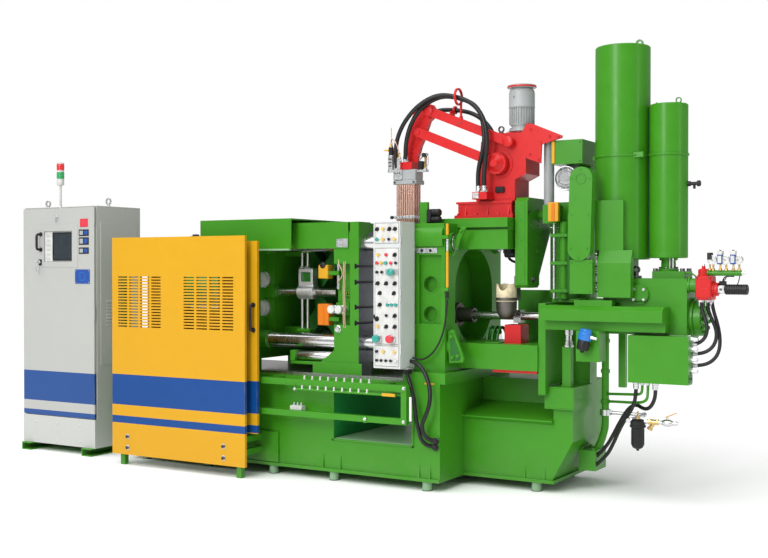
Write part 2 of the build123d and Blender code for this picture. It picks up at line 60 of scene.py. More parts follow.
# ---- camera -------------------------------------------------------------------
cam_data = bpy.data.cameras.new("camera")
cam = bpy.data.objects.new("camera", cam_data)
scene.collection.objects.link(cam)
cam.location = (4.3085, -6.755, 1.45)
cam.rotation_euler = (math.radians(90 - 0.563), 0.0, math.radians(30.7))
cam_data.sensor_width = 36.0
cam_data.sensor_fit = "HORIZONTAL"
cam_data.lens = 52.5
cam_data.clip_end = 100.0
scene.camera = cam

# ---- materials ----------------------------------------------------------------


def new_mat(name):
    m = bpy.data.materials.new(name)
    m.use_nodes = True
    nt = m.node_tree
    nt.nodes.clear()
    out = nt.nodes.new("ShaderNodeOutputMaterial")
    bsdf = nt.nodes.new("ShaderNodeBsdfPrincipled")
    nt.links.new(bsdf.outputs[0], out.inputs[0])
    return m, nt, bsdf


def noise(nt, vec, scale, detail=3.0, rough=0.5):
    n = nt.nodes.new("ShaderNodeTexNoise")
    n.inputs["Scale"].default_value = scale
    n.inputs["Detail"].default_value = detail
    n.inputs["Roughness"].default_value = rough
    nt.links.new(vec, n.inputs["Vector"])
    return n.outputs["Fac"]


def remap(nt, fac, a, b, c, d):
    n = nt.nodes.new("ShaderNodeMapRange")
    for k, v in zip(("From Min", "From Max", "To Min", "To Max"), (a, b, c, d)):
        n.inputs[k].default_value = v
    nt.links.new(fac, n.inputs["Value"])
    return n.outputs["Result"]


def maths(nt, op, a, b=None):
    n = nt.nodes.new("ShaderNodeMath")
    n.operation = op
    for i, v in enumerate((a, b)):
        if v is None:
            continue
        if isinstance(v, (int, float)):
            n.inputs[i].default_value = v
        else:
            nt.links.new(v, n.inputs[i])
    return n.outputs[0]


def mix(nt, fac, a, b, mode="MIX"):
    n = nt.nodes.new("ShaderNodeMix")
    n.data_type = "RGBA"
    n.blend_type = mode
    for k, v in (("Factor", fac), ("A", a), ("B", b)):
        s = n.inputs["Factor"] if k == "Factor" else [i for i in n.inputs if i.name == k and i.type == "RGBA"][0]
        if isinstance(v, (int, float)):
            s.default_value = v
        elif isinstance(v, (tuple, list)):
            s.default_value = (*v[:3], 1.0)
        else:
            nt.links.new(v, s)
    return [o for o in n.outputs if o.type == "RGBA"][0]


def edge_mask(nt, radius=0.006):
    """1 near an edge, 0 on flats."""
    bev = nt.nodes.new("ShaderNodeBevel")
    bev.samples = 4
    bev.inputs["Radius"].default_value = radius
    geo = nt.nodes.new("ShaderNodeNewGeometry")
    dot = nt.nodes.new("ShaderNodeVectorMath")
    dot.operation = "DOT_PRODUCT"
    nt.links.new(bev.outputs[0], dot.inputs[0])
    nt.links.new(geo.outputs["Normal"], dot.inputs[1])
    return remap(nt, dot.outputs["Value"], 0.97, 0.72, 0.0, 1.0)


def scaled(col, k, add=0.0):
    return tuple(min(1.0, c * k + add) for c in col)


def paint(name, col, rough=0.33, coat=0.2, var=0.10, scale=1.0, peel=0.012, wear_and_highlight=0.35, dust=0.18, bands=None, band_col=None, spec=0.5):
    """Sprayed enamel: tone patches, fine orange peel, edges lighter as rubbed wear and painted highlight, dust low
    down.
    """
    m, nt, b = new_mat(name)
    tc = nt.nodes.new("ShaderNodeTexCoord").outputs["Object"]
    broad = noise(nt, tc, 0.8 * scale, 3.0)
    fine = noise(nt, tc, 11.0 * scale, 7.0, 0.62)
    grain = noise(nt, tc, 190.0 * scale, 2.0)
    tone = maths(nt, "ADD", maths(nt, "MULTIPLY", broad, 0.65), maths(nt, "MULTIPLY", fine, 0.35))
    tone = remap(nt, tone, 0.32, 0.68, 0.0, 1.0)
    c = mix(nt, tone, scaled(col, 1.0 - var), scaled(col, 1.0 + var))
    sep = nt.nodes.new("ShaderNodeSeparateXYZ")
    nt.links.new(tc, sep.inputs[0])
    if bands:
        total = None
        for z0, z1 in bands:
            inside = maths(nt, "MULTIPLY", maths(nt, "GREATER_THAN", sep.outputs["Z"], z0), maths(nt, "LESS_THAN", sep.outputs["Z"], z1))
            total = inside if total is None else maths(nt, "MAXIMUM", total, inside)
        stripe = mix(nt, tone, scaled(band_col, 0.92), scaled(band_col, 1.1, 0.004))
        c = mix(nt, total, c, stripe)
    edge = edge_mask(nt)
    # edges lightened in the colour: partly rubbed wear, partly a painted highlight on the rounded edges
    rub_and_highlight = maths(nt, "MULTIPLY", edge, remap(nt, fine, 0.42, 0.62, 0.1, 1.0))
    c = mix(nt, maths(nt, "MULTIPLY", rub_and_highlight, wear_and_highlight), c, scaled(col, 1.25, 0.10))
    low = remap(nt, sep.outputs["Z"], 0.0, 0.35, 1.0, 0.0)
    soil = maths(nt, "MULTIPLY", maths(nt, "MULTIPLY", low, remap(nt, fine, 0.4, 0.7, 0.2, 1.0)), dust)
    c = mix(nt, soil, c, (0.20, 0.18, 0.15))
    nt.links.new(c, b.inputs["Base Color"])
    nt.links.new(remap(nt, fine, 0.3, 0.7, rough - 0.06, rough + 0.09), b.inputs["Roughness"])
    bump = nt.nodes.new("ShaderNodeBump")
    bump.inputs["Strength"].default_value = 0.25
    bump.inputs["Distance"].default_value = peel * 0.02
    nt.links.new(grain, bump.inputs["Height"])
    nt.links.new(bump.outputs[0], b.inputs["Normal"])
    b.inputs["Coat Weight"].default_value = coat
    b.inputs["Coat Roughness"].default_value = 0.12
    b.inputs["Specular IOR Level"].default_value = spec
    return m


def metal(name, col, rough=0.3, stretch=(1, 1, 1), grain=60.0, var=0.12, stain=0.25, bump_d=0.0002):
    """Machined or drawn metal: directional grain, oil stains, edges lighter as rubbed wear and painted highlight."""
    m, nt, b = new_mat(name)
    tc = nt.nodes.new("ShaderNodeTexCoord").outputs["Object"]
    mp = nt.nodes.new("ShaderNodeMapping")
    mp.inputs["Scale"].default_value = stretch
    nt.links.new(tc, mp.inputs["Vector"])
    lines = noise(nt, mp.outputs[0], grain, 3.0, 0.7)
    stains = noise(nt, tc, 7.0, 6.0, 0.6)
    c = mix(nt, remap(nt, lines, 0.3, 0.7, 0.0, 1.0), scaled(col, 1 - var), scaled(col, 1 + var))
    c = mix(nt, remap(nt, stains, 0.52, 0.75, 0.0, stain), c, scaled(col, 0.45))
    # edges lightened in the colour: partly rubbed wear, partly a painted highlight on the rounded edges
    edge = edge_mask(nt, 0.003)
    c = mix(nt, maths(nt, "MULTIPLY", edge, 0.4), c, scaled(col, 1.2, 0.08))
    nt.links.new(c, b.inputs["Base Color"])
    b.inputs["Metallic"].default_value = 1.0
    nt.links.new(remap(nt, lines, 0.3, 0.7, max(0.04, rough - 0.08), rough + 0.10), b.inputs["Roughness"])
    bump = nt.nodes.new("ShaderNodeBump")
    bump.inputs["Strength"].default_value = 0.3
    bump.inputs["Distance"].default_value = bump_d
    nt.links.new(lines, bump.inputs["Height"])
    nt.links.new(bump.outputs[0], b.inputs["Normal"])
    return m


def plastic(name, col, rough=0.4, var=0.12, grain=240.0, bump_d=0.0002, spec=0.5, coat=0.0):
    """Moulded plastic or rubber: fine grain, faint mottling, edges lighter as rubbed wear and painted highlight."""
    m, nt, b = new_mat(name)
    tc = nt.nodes.new("ShaderNodeTexCoord").outputs["Object"]
    cloud = noise(nt, tc, 18.0, 5.0, 0.6)
    fine = noise(nt, tc, grain, 2.0)
    c = mix(nt, remap(nt, cloud, 0.3, 0.7, 0.0, 1.0), scaled(col, 1 - var), scaled(col, 1 + var, 0.003))
    # edges lightened in the colour: partly rubbed wear, partly a painted highlight on the rounded edges
    edge = edge_mask(nt, 0.002)
    c = mix(nt, maths(nt, "MULTIPLY", edge, 0.3), c, scaled(col, 1.3, 0.06))
    nt.links.new(c, b.inputs["Base Color"])
    nt.links.new(remap(nt, cloud, 0.3, 0.7, rough - 0.07, rough + 0.1), b.inputs["Roughness"])
    bump = nt.nodes.new("ShaderNodeBump")
    bump.inputs["Strength"].default_value = 0.3
    bump.inputs["Distance"].default_value = bump_d
    nt.links.new(fine, bump.inputs["Height"])
    nt.links.new(bump.outputs[0], b.inputs["Normal"])
    b.inputs["Specular IOR Level"].default_value = spec
    b.inputs["Coat Weight"].default_value = coat
    return m


def glass(name, col, rough=0.04, transmission=0.92):
    m, nt, b = new_mat(name)
    tc = nt.nodes.new("ShaderNodeTexCoord").outputs["Object"]
    smear = noise(nt, tc, 9.0, 6.0, 0.65)
    nt.links.new(mix(nt, remap(nt, smear, 0.35, 0.7, 0.0, 1.0), col, scaled(col, 0.97)), b.inputs["Base Color"])
    nt.links.new(remap(nt, smear, 0.35, 0.75, rough, rough + 0.03), b.inputs["Roughness"])
    b.inputs["Transmission Weight"].default_value = transmission
    b.inputs["IOR"].default_value = 1.45
    return m


GREEN = paint("green_enamel", (0.042, 0.240, 0.009), rough=0.34, coat=0.06, var=0.07, spec=0.28)
# painted shade: a darker copy of the green enamel for parts that lie in shadow
GREEN_PAINTED_SHADE = paint("green_enamel_painted_shade", (0.018, 0.130, 0.016), rough=0.38, coat=0.05, var=0.10, spec=0.28)
GREEN_PALE = paint("green_plate", (0.25, 0.42, 0.25), rough=0.38, coat=0.05, var=0.08, spec=0.3)
# painted shade: a matte, teal-tinted copy of the green enamel, coloured as the tunnel wall looks in shadow
GREEN_INNER_PAINTED_SHADE = paint("green_enamel_inner_painted_shade", (0.020, 0.260, 0.060), rough=0.8, coat=0.0, var=0.10, spec=0.04)
YELLOW = paint("guard_yellow", (0.585, 0.305, 0.006), spec=0.28, rough=0.40, coat=0.05, var=0.035,
               bands=[(0.445, 0.669), (0.311, 0.364)], band_col=(0.0, 0.050, 0.225), dust=0.05, wear_and_highlight=0.5)
# painted shade: the front and door take a darker copy of the cabinet grey than the sides, to offset the stronger light
# on the front
CABINET = paint("cabinet_grey", (0.475, 0.488, 0.462), rough=0.42, coat=0.05, var=0.03, peel=0.05, dust=0.08)
CABINET_FRONT_PAINTED_SHADE = paint("cabinet_grey_banded_painted_shade", (0.41, 0.418, 0.395), rough=0.42, coat=0.05, var=0.03, peel=0.05,
                      bands=[(0.398, 0.635), (0.275, 0.325)], band_col=(0.0, 0.050, 0.225), dust=0.08)
PANEL = paint("panel_grey", (0.55, 0.575, 0.565), rough=0.40, coat=0.05, var=0.03, peel=0.04, dust=0.0)
RED = paint("red_enamel", (0.56, 0.012, 0.013), rough=0.36, coat=0.06, var=0.07, spec=0.28)
ORANGE = paint("orange_enamel", (0.66, 0.17, 0.006), rough=0.38, coat=0.06, var=0.06, spec=0.28)
AMBER = paint("amber_enamel", (0.64, 0.33, 0.015), rough=0.40, coat=0.05, var=0.06, spec=0.28)
GREY = paint("motor_grey", (0.33, 0.35, 0.35), rough=0.38, coat=0.1, var=0.08)
BLUE = plastic("blue_plastic", (0.006, 0.16, 0.55), rough=0.25, coat=0.3)
BLUE_DARK = plastic("blue_plate", (0.006, 0.06, 0.30), rough=0.35)
BLACK = plastic("black_plastic", (0.012, 0.012, 0.013), rough=0.38, spec=0.3)
RUBBER = plastic("hose_rubber", (0.010, 0.010, 0.011), rough=0.36, spec=0.35)
WHITE = plastic("white_plastic", (0.60, 0.60, 0.58), rough=0.35)
TEAL = plastic("teal_button", (0.02, 0.30, 0.25), rough=0.28, coat=0.3)
BUTTON_RED = plastic("red_button", (0.62, 0.03, 0.05), rough=0.28, coat=0.3)
BUTTON_YELLOW = plastic("yellow_button", (0.70, 0.46, 0.08), rough=0.28, coat=0.3)
LENS_RED = plastic("red_lens", (0.70, 0.02, 0.02), rough=0.15, coat=0.5)
LENS_GREEN = plastic("green_lens", (0.02, 0.36, 0.10), rough=0.15, coat=0.5)
STEEL = metal("machined_steel", (0.56, 0.56, 0.55), rough=0.28, stretch=(1, 6, 6), grain=50.0)
STEEL_DARK = metal("dark_steel", (0.13, 0.13, 0.13), rough=0.38, grain=40.0)
CHROME = metal("chrome_bar", (0.70, 0.70, 0.71), rough=0.22, stretch=(20, 2, 2), grain=14.0, var=0.05, stain=0.10)
PLATEN = metal("platen_face", (0.24, 0.25, 0.27), rough=0.34, stretch=(1, 1, 10), grain=22.0, stain=0.3)
IRON = metal("cast_iron", (0.17, 0.155, 0.14), rough=0.52, grain=120.0, stain=0.5, bump_d=0.0010)
REFRACTORY = plastic("ladle_coating", (0.60, 0.52, 0.34), rough=0.75, var=0.35, grain=60.0, bump_d=0.002)
COPPER = metal("copper_tube", (0.78, 0.51, 0.42), rough=0.30, stretch=(8, 8, 1), grain=30.0, stain=0.3)
BRASS = metal("brass", (0.72, 0.50, 0.20), rough=0.26, grain=50.0)
ZINC = metal("zinc_plate", (0.68, 0.69, 0.70), rough=0.30, grain=60.0, var=0.06, stain=0.12)
BRIGHT = metal("ground_steel", (0.80, 0.81, 0.82), rough=0.46, grain=50.0, var=0.06, stain=0.15)
TAN = plastic("grease_tube", (0.47, 0.36, 0.20), rough=0.35)
SCREEN = plastic("display_glass", (0.012, 0.022, 0.030), rough=0.10, coat=0.6, grain=20.0, bump_d=0.00002)
WINDOW = glass("clear_window", (0.86, 0.92, 0.92))

# ---- mesh kit -----------------------------------------------------------------


class Kit:
    """Collects shapes in machine millimetres and turns them into one piece."""

    def __init__(self):
        self.v, self.f, self.fm, self.mats = [], [], [], []

    def add(self, verts, faces, mat, tf=None):
        if mat not in self.mats:
            self.mats.append(mat)
        k, o = self.mats.index(mat), len(self.v)
        self.v += [tuple(tf @ Vector(p)) if tf is not None else tuple(p) for p in verts]
        for f in faces:
            self.f.append([i + o for i in f])
            self.fm.append(k)

    def box(self, x0, x1, y0, y1, z0, z1, mat, c=1.5, tf=None):
        """Box with chamfered edges."""
        c = max(0.05, min(c, 0.45 * min(x1 - x0, y1 - y0, z1 - z0)))
        lo, hi = (x0, y0, z0), (x1, y1, z1)
        verts, index = [], {}
        for sx in (0, 1):
            for sy in (0, 1):
                for sz in (0, 1):
                    s = (sx, sy, sz)
                    for a in range(3):          # the vertex on the face square to axis a
                        p = [(lo[i] if s[i] == 0 else hi[i]) for i in range(3)]
                        for i in range(3):
                            if i != a:
                                p[i] += c if s[i] == 0 else -c
                        index[(s, a)] = len(verts)
                        verts.append(tuple(p))
        faces = []
        for a in range(3):
            b, d = (a + 1) % 3, (a + 2) % 3
            for e in (0, 1):
                loop = []
                for ub, ud in ((0, 0), (1, 0), (1, 1), (0, 1)):
                    s = [0, 0, 0]
                    s[a], s[b], s[d] = e, ub, ud
                    loop.append(index[(tuple(s), a)])
                faces.append(loop if e else loop[::-1])
        for a in range(3):                      # an edge along axis a joins two faces
            b, d = (a + 1) % 3, (a + 2) % 3
            for ub in (0, 1):
                for ud in (0, 1):
                    s0, s1 = [0, 0, 0], [0, 0, 0]
                    s0[b], s0[d], s1[b], s1[d], s1[a] = ub, ud, ub, ud, 1
                    loop = [index[(tuple(s0), b)], index[(tuple(s1), b)], index[(tuple(s1), d)], index[(tuple(s0), d)]]
                    faces.append(loop)
        for sx in (0, 1):
            for sy in (0, 1):
                for sz in (0, 1):
                    s = (sx, sy, sz)
                    faces.append([index[(s, 0)], index[(s, 1)], index[(s, 2)]])
        self.add(verts, faces, mat, tf)

    def lathe(self, axis, p, prof, mat, seg=24, tf=None, phase=0.0):
        """Turns a profile of (along, radius) points about an axis through p."""
        verts, rings = [], []
        for t, r in prof:
            if r <= 1e-6:
                rings.append([len(verts)])
                verts.append((t, 0.0, 0.0))
            else:
                rings.append(list(range(len(verts), len(verts) + seg)))
                for k in range(seg):
                    a = 2 * math.pi * k / seg + phase
                    verts.append((t, r * math.cos(a), r * math.sin(a)))
        faces = []
        for r0, r1 in zip(rings, rings[1:]):
            if len(r0) == 1 and len(r1) == 1:
                continue
            for k in range(seg):
                n = (k + 1) % seg
                if len(r0) == 1:
                    faces.append([r0[0], r1[n], r1[k]])
                elif len(r1) == 1:
                    faces.append([r0[k], r0[n], r1[0]])
                else:
                    faces.append([r0[k], r0[n], r1[n], r1[k]])
        if len(rings[0]) > 1:
            faces.append(rings[0][::-1])
        if len(rings[-1]) > 1:
            faces.append(rings[-1][:])
        place = {"X": lambda q: (q[0], p[0] + q[1], p[1] + q[2]),
                 "Y": lambda q: (p[0] + q[1], q[0], p[1] + q[2]),
                 "Z": lambda q: (p[0] + q[1], p[1] + q[2], q[0])}[axis]
        self.add([place(q) for q in verts], faces, mat, tf)

    def cyl(self, axis, a, b, p, r, mat, c=1.0, seg=24, tf=None):
        c = min(c, 0.45 * abs(b - a), 0.45 * r)
        s = 1 if b > a else -1
        self.lathe(axis, p, [(a, r - c), (a + s * c, r), (b - s * c, r), (b, r - c)], mat, seg, tf)

    def ring(self, axis, a, b, p, r, ri, mat, seg=32, tf=None):
        c = min(1.0, 0.3 * abs(b - a), 0.3 * (r - ri))
        prof = [(a, ri + c), (a, r - c), (a + c, r), (b - c, r), (b, r - c), (b, ri + c), (b - c, ri), (a + c, ri), (a, ri + c)]
        verts, faces, n = [], [], len(prof) - 1
        for k in range(seg):
            w = 2 * math.pi * k / seg
            for t, q in prof[:-1]:
                verts.append((t, q * math.cos(w), q * math.sin(w)))
        for k in range(seg):
            k2 = (k + 1) % seg
            for i in range(n):
                i2 = (i + 1) % n
                faces.append([k * n + i, k2 * n + i, k2 * n + i2, k * n + i2])
        place = {"X": lambda q: (q[0], p[0] + q[1], p[1] + q[2]),
                 "Y": lambda q: (p[0] + q[1], q[0], p[1] + q[2]),
                 "Z": lambda q: (p[0] + q[1], p[1] + q[2], q[0])}[axis]
        self.add([place(q) for q in verts], faces, mat, tf)

    def prism(self, axis, pts, a, b, mat, c=1.5, tf=None):
        """An outline drawn out along an axis, with its two end faces chamfered."""
        area = sum(p[0] * q[1] - q[0] * p[1] for p, q in zip(pts, pts[1:] + pts[:1]))
        if area < 0:
            pts = pts[::-1]
        n = len(pts)
        inner = []
        for i in range(n):
            p0, p1, p2 = Vector(pts[i - 1]), Vector(pts[i]), Vector(pts[(i + 1) % n])
            d1, d2 = (p1 - p0).normalized(), (p2 - p1).normalized()
            n1, n2 = Vector((-d1.y, d1.x)), Vector((-d2.y, d2.x))
            m = n1 + n2
            k = 1.0 / max(0.35, 1 + n1.dot(n2))
            inner.append((p1.x + m.x * k * c, p1.y + m.y * k * c))
        layers = [(a, inner), (a + c, pts), (b - c, pts), (b, inner)]
        place = {"X": lambda t, q: (t, q[0], q[1]), "Y": lambda t, q: (q[0], t, q[1]), "Z": lambda t, q: (q[0], q[1], t)}[axis]
        verts = [place(t, q) for t, ring in layers for q in ring]
        faces = [list(range(n))[::-1], list(range(3 * n, 4 * n))]
        for L in range(3):
            for i in range(n):
                j = (i + 1) % n
                faces.append([L * n + i, L * n + j, (L + 1) * n + j, (L + 1) * n + i])
        self.add(verts, faces, mat, tf)

    def hexhead(self, axis, t, p, af, h, mat, washer=True, s=-1):
        """Hex head standing on the plane at t, its top towards s along the axis."""
        r = af / math.sqrt(3)
        if washer:
            self.cyl(axis, t, t + s * h * 0.22, p, r * 1.25, mat, 0.4, 20)
        t0 = t + s * h * 0.2
        self.lathe(axis, p, [(t0, r), (t0 + s * h * 0.78, r), (t0 + s * h, r * 0.80)], mat, 6, phase=rnd.random())
        self.lathe(axis, p, [(t0 + s * h * 0.7, r * 0.72), (t0 + s * h * 1.04, r * 0.72), (t0 + s * h * 1.05, r * 0.5)], mat, 16)

    def capscrew(self, axis, t, p, r, h, mat, s=-1):
        """Socket head standing on the plane at t."""
        self.lathe(axis, p, [(t, r), (t + s * h * 0.85, r), (t + s * h, r * 0.86), (t + s * h, r * 0.55), (t + s * h * 0.45, r * 0.52), (t + s * h * 0.45, 0)], mat, 18)

    def pipe(self, pts, r, mat, order=3, seg=3):
        """A bent rigid pipe along a smooth line."""
        cu = bpy.data.curves.new("pipe_tmp", "CURVE")
        cu.dimensions = "3D"
        cu.bevel_depth = r
        cu.bevel_resolution = seg
        cu.use_fill_caps = True
        cu.resolution_u = 6
        sp = cu.splines.new("NURBS")
        sp.points.add(len(pts) - 1)
        for q, p in zip(sp.points, pts):
            q.co = (*p, 1.0)
        sp.order_u = min(order, len(pts))
        sp.use_endpoint_u = True
        ob = bpy.data.objects.new("pipe_tmp", cu)
        scene.collection.objects.link(ob)
        bpy.context.view_layer.update()
        me = bpy.data.meshes.new_from_object(ob.evaluated_get(bpy.context.evaluated_depsgraph_get()))
        self.add([tuple(v.co) for v in me.vertices], [list(p.vertices) for p in me.polygons], mat)
        bpy.data.objects.remove(ob)
        bpy.data.curves.remove(cu)
        bpy.data.meshes.remove(me)

    def make(self, name, body, replaces=(), sharp=38.0):
        me = bpy.data.meshes.new(name)
        me.from_pydata([tuple(W(*p)) for p in self.v], [], self.f)
        for m in self.mats:
            me.materials.append(m)
        me.polygons.foreach_set("material_index", self.fm)
        bm = bmesh.new()
        bm.from_mesh(me)
        bmesh.ops.recalc_face_normals(bm, faces=bm.faces[:])
        bm.to_mesh(me)
        bm.free()
        me.shade_smooth()
        me.set_sharp_from_angle(angle=math.radians(sharp))
        me.validate()
        ob = bpy.data.objects.new(name, me)
        scene.collection.objects.link(ob)
        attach(ob, body)
        if replaces:
            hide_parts(*replaces)
        return ob


# ---- cords: the routes of the CAD tubes, in machine millimetres -----------------
ROUTES = {
    "panel_conduit_a": (13, [(700, -540, 830), (708, -541, 765), (740, -550, 695), (773, -562, 610), (789, -570, 520), (800, -572, 450), (815, -567, 394), (822, -561, 350), (841, -546, 317), (870, -525, 299), (905, -494, 296)]),
    "panel_conduit_b": (13, [(700, -515, 846), (760, -520, 840), (818, -528, 800), (866, -542, 728), (893, -558, 645), (893, -574, 570), (872, -583, 505), (846, -581, 456), (838, -572, 418), (845, -564, 383), (862, -549, 354), (886, -527, 338), (908, -494, 334)]),
    "platen_cable": (6, [(712, -490, 868), (760, -486, 848), (822, -478, 862), (884, -468, 920), (928, -457, 1015), (950, -447, 1135), (955, -445, 1254)]),
    "spray_hose_rise_a": (15, [(1050, -180, 1940), (1046, -184, 2030), (1056, -190, 2120), (1085, -196, 2205), (1102, -198, 2290), (1094, -196, 2380), (1075, -193, 2457), (1041, -187, 2513), (978, -180.3, 2560.1), (905.5, -175.5, 2582.84)]),
    "spray_hose_rise_b": (15, [(1105, -208, 1940), (1104, -214, 2040), (1116, -222, 2140), (1132, -228, 2230), (1136, -232, 2320), (1120, -232, 2408), (1070, -226, 2494), (985, -214.5, 2562), (905.5, -209.53, 2586.84)]),
    "spray_hose_rise_c": (15, [(1108, -60, 2330), (1086, -60, 2374), (1046, -60, 2424), (984, -60, 2476), (897, -60, 2513.2), (815.5, -60, 2524.9)]),
    "spray_hose_fall_a": (15, [(905, -175.4, 2583), (819, -169.7, 2610), (715, -184, 2594), (615, -197, 2530), (548, -202, 2435), (514, -202, 2335), (502, -197, 2245), (499, -188, 2156)]),
    "spray_hose_fall_b": (15, [(905, -209.5, 2587), (819, -204.2, 2614), (715, -218, 2602), (605, -231, 2540), (520, -234, 2452), (464, -230, 2360), (438, -220, 2270), (434, -206, 2190), (434, -192, 2112)]),
    "spray_hose_fall_c": (15, [(815, -60, 2525), (735, -60, 2536.5), (641, -60, 2523.3), (570, -60, 2479), (528, -60, 2410), (511, -60, 2328), (508, -60, 2235), (510, -60, 2142)]),
    "shot_hose_a": (11, [(2504, -136, 1266), (2508, -140, 1215), (2528, -150, 1164), (2548, -160, 1118), (2553, -168, 1074), (2541, -173, 1034), (2513, -176, 1006), (2482, -176, 995), (2452, -176, 994)]),
    "shot_hose_b": (11, [(2534, -106, 1266), (2538, -110, 1210), (2562, -114, 1150), (2590, -120, 1095), (2599, -128, 1040), (2585, -136, 987), (2546, -146, 949), (2493, -158, 935), (2455, -166, 935)]),
    "shot_hose_c": (11, [(2556, -84, 1266), (2564, -86, 1205), (2590, -92, 1130), (2610, -102, 1055), (2615, -114, 980), (2600, -128, 922), (2558, -144, 880), (2500, -158, 865), (2455, -168, 865)]),
    "return_hose_a": (12, [(2250, -200, 760), (2250, -196, 700), (2238, -180, 645), (2200, -148, 590), (2145, -98, 575), (2080, -34, 595), (2010, 30, 565), (1945, 70, 480), (1885, 92, 375), (1832, 100, 285), (1768, 100, 222)]),
    "return_hose_b": (12, [(2130, -200, 760), (2128, -196, 690), (2112, -178, 620), (2070, -128, 560), (2016, -66, 500), (1956, -4, 420), (1900, 44, 320), (1844, 74, 232), (1768, 86, 165)]),
}
BENDS = {"spray_hose_rise_a": ("machine", "spray_upper_arm", (1070, -190, 2010), (930, -180, 2575)),
         "spray_hose_rise_b": ("machine", "spray_upper_arm", (1110, -215, 2010), (930, -211, 2579)),
         "spray_hose_rise_c": ("machine", "spray_upper_arm", (1092, -60, 2362), (845, -60, 2520)),
         "spray_hose_fall_a": ("spray_upper_arm", "spray_wrist", (880, -174, 2590), (501, -194, 2225)),
         "spray_hose_fall_b": ("spray_upper_arm", "spray_wrist", (880, -208, 2594), (434, -204, 2180)),
         "spray_hose_fall_c": ("spray_upper_arm", "spray_wrist", (785, -60, 2529), (509, -60, 2210))}


def route_curve(name, pts, depth):
    cu = bpy.data.curves.new(name, "CURVE")
    cu.dimensions = "3D"
    cu.bevel_depth = depth
    cu.bevel_resolution = 5
    cu.resolution_u = 12
    cu.use_fill_caps = depth > 0
    sp = cu.splines.new("NURBS")
    sp.points.add(len(pts) - 1)
    for q, p in zip(sp.points, pts):
        q.co = (*W(*p), 1.0)
    sp.order_u = 3
    sp.use_endpoint_u = True
    ob = bpy.data.objects.new(name, cu)
    scene.collection.objects.link(ob)
    bpy.context.view_layer.update()
    return ob


def mesh_of(ob, name):
    return bpy.data.meshes.new_from_object(ob.evaluated_get(bpy.context.evaluated_depsgraph_get()))


CORD_ENDS = {}
for node, (r, pts) in ROUTES.items():
    bare = route_curve(node + "_line", pts, 0.0)
    me = mesh_of(bare, node)
    line = [v.co.copy() for v in me.vertices]
    bpy.data.meshes.remove(me)
    bpy.data.objects.remove(bare)
    piece = route_curve("cord_" + node, pts, r / 1000.0)
    if node in BENDS:
        me = mesh_of(piece, node)
        bpy.data.objects.remove(piece)
        me.name = "cord_" + node
        me.materials.append(RUBBER)
        me.shade_smooth()
        piece = bpy.data.objects.new("cord_" + node, me)
        scene.collection.objects.link(piece)
        a, b, p0, p1 = BENDS[node]
        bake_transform(piece)
    else:
        piece.data.materials.append(RUBBER)
        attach(piece, "machine")
    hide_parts(node)
    CORD_ENDS[node] = line

# ---- finishes on the CAD nodes -------------------------------------------------
FINISH = {
    # painted shade: the cabinet door takes the darker front copy of the cabinet grey
    "control_cabinet": CABINET, "cabinet_door": CABINET_FRONT_PAINTED_SHADE, "operator_panel": PANEL, "front_guard": YELLOW, "sliding_door": YELLOW,
    "door_window": WINDOW, "door_handle": BLACK, "levelling_feet": GREEN_PALE, "tie_bars": CHROME, "plunger_rod": STEEL, "shot_sleeve": IRON,
    # the four links take the darker green copy: painted shade
    "upper_rear_link": GREEN_PAINTED_SHADE, "lower_rear_link": GREEN_PAINTED_SHADE, "upper_front_link": GREEN_PAINTED_SHADE, "lower_front_link": GREEN_PAINTED_SHADE, "drip_trays": RED,
    "servo_valve": RED, "pressure_gauges": GREEN, "sprayer_turret": RED, "sprayer_lower_arm": RED, "sprayer_upper_arm": RED, "sprayer_wrist": RED,
    "spray_head": COPPER, "drive_motors": GREY, "ladle_cup": REFRACTORY, "service_units": BLUE,
}
for n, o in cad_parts.items():
    if n in ROUTES:
        continue
    o.data.materials.clear()
    o.data.materials.append(FINISH.get(n, GREEN))
    for p in o.data.polygons:
        p.material_index = 0


def second_finish(node, mat, test):
    """Gives the faces of a node that pass the test another finish."""
    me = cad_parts[node].data
    me.materials.append(mat)
    slot = len(me.materials) - 1
    for p in me.polygons:
        if test([me.vertices[i].co for i in p.vertices], p.normal):
            p.material_index = slot


second_finish("control_cabinet", GREEN, lambda v, n: max(c.z for c in v) < 0.0605)
second_finish("moving_platen", PLATEN, lambda v, n: min(c.x for c in v) > W(269.5, 0, 0).x and max(c.z for c in v) < 1.701)
second_finish("moving_platen", STEEL_DARK, lambda v, n: min(c.x for c in v) > W(236, 0, 0).x and max(c.x for c in v) < W(270.5, 0, 0).x + 0.0005
              and min(abs(sum(c.z for c in v) / len(v) - z) for z in (1.075, 1.183, 1.354, 1.462)) < 0.0175 and not min(c.x for c in v) > W(269.5, 0, 0).x)
second_finish("fixed_platen", PLATEN, lambda v, n: max(c.x for c in v) < W(700.5, 0, 0).x)
second_finish("shot_bed", CHROME, lambda v, n: min(c.z for c in v) > 0.9485)
second_finish("clamp_bed", STEEL, lambda v, n: min(c.z for c in v) > 0.6995 and max(c.z for c in v) < 0.7205 and max(c.x for c in v) < W(641, 0, 0).x)
# the tunnel's side wall gets the matte teal copy: painted shade
second_finish("clamp_bed", GREEN_INNER_PAINTED_SHADE, lambda v, n: abs(n.x) > 0.9 and W(90, 0, 0).x < min(c.x for c in v) and max(c.x for c in v) < W(130, 0, 0).x)
second_finish("rear_platen", STEEL, lambda v, n: max(abs(c.y - 0.125) for c in v) < 0.1305 and min(c.x for c in v) > W(-450, 0, 0).x and abs(n.y) < 0.5)


# ---- control cabinet -------------------------------------------------------------
DOOR = "cabinet_door_leaf"
fr = [(-2608, -2550, 1457, 1791), (-2242, -2179, 1457, 1791), (-2550, -2242, 1457, 1499), (-2550, -2242, 1739, 1791)]
k = Kit()
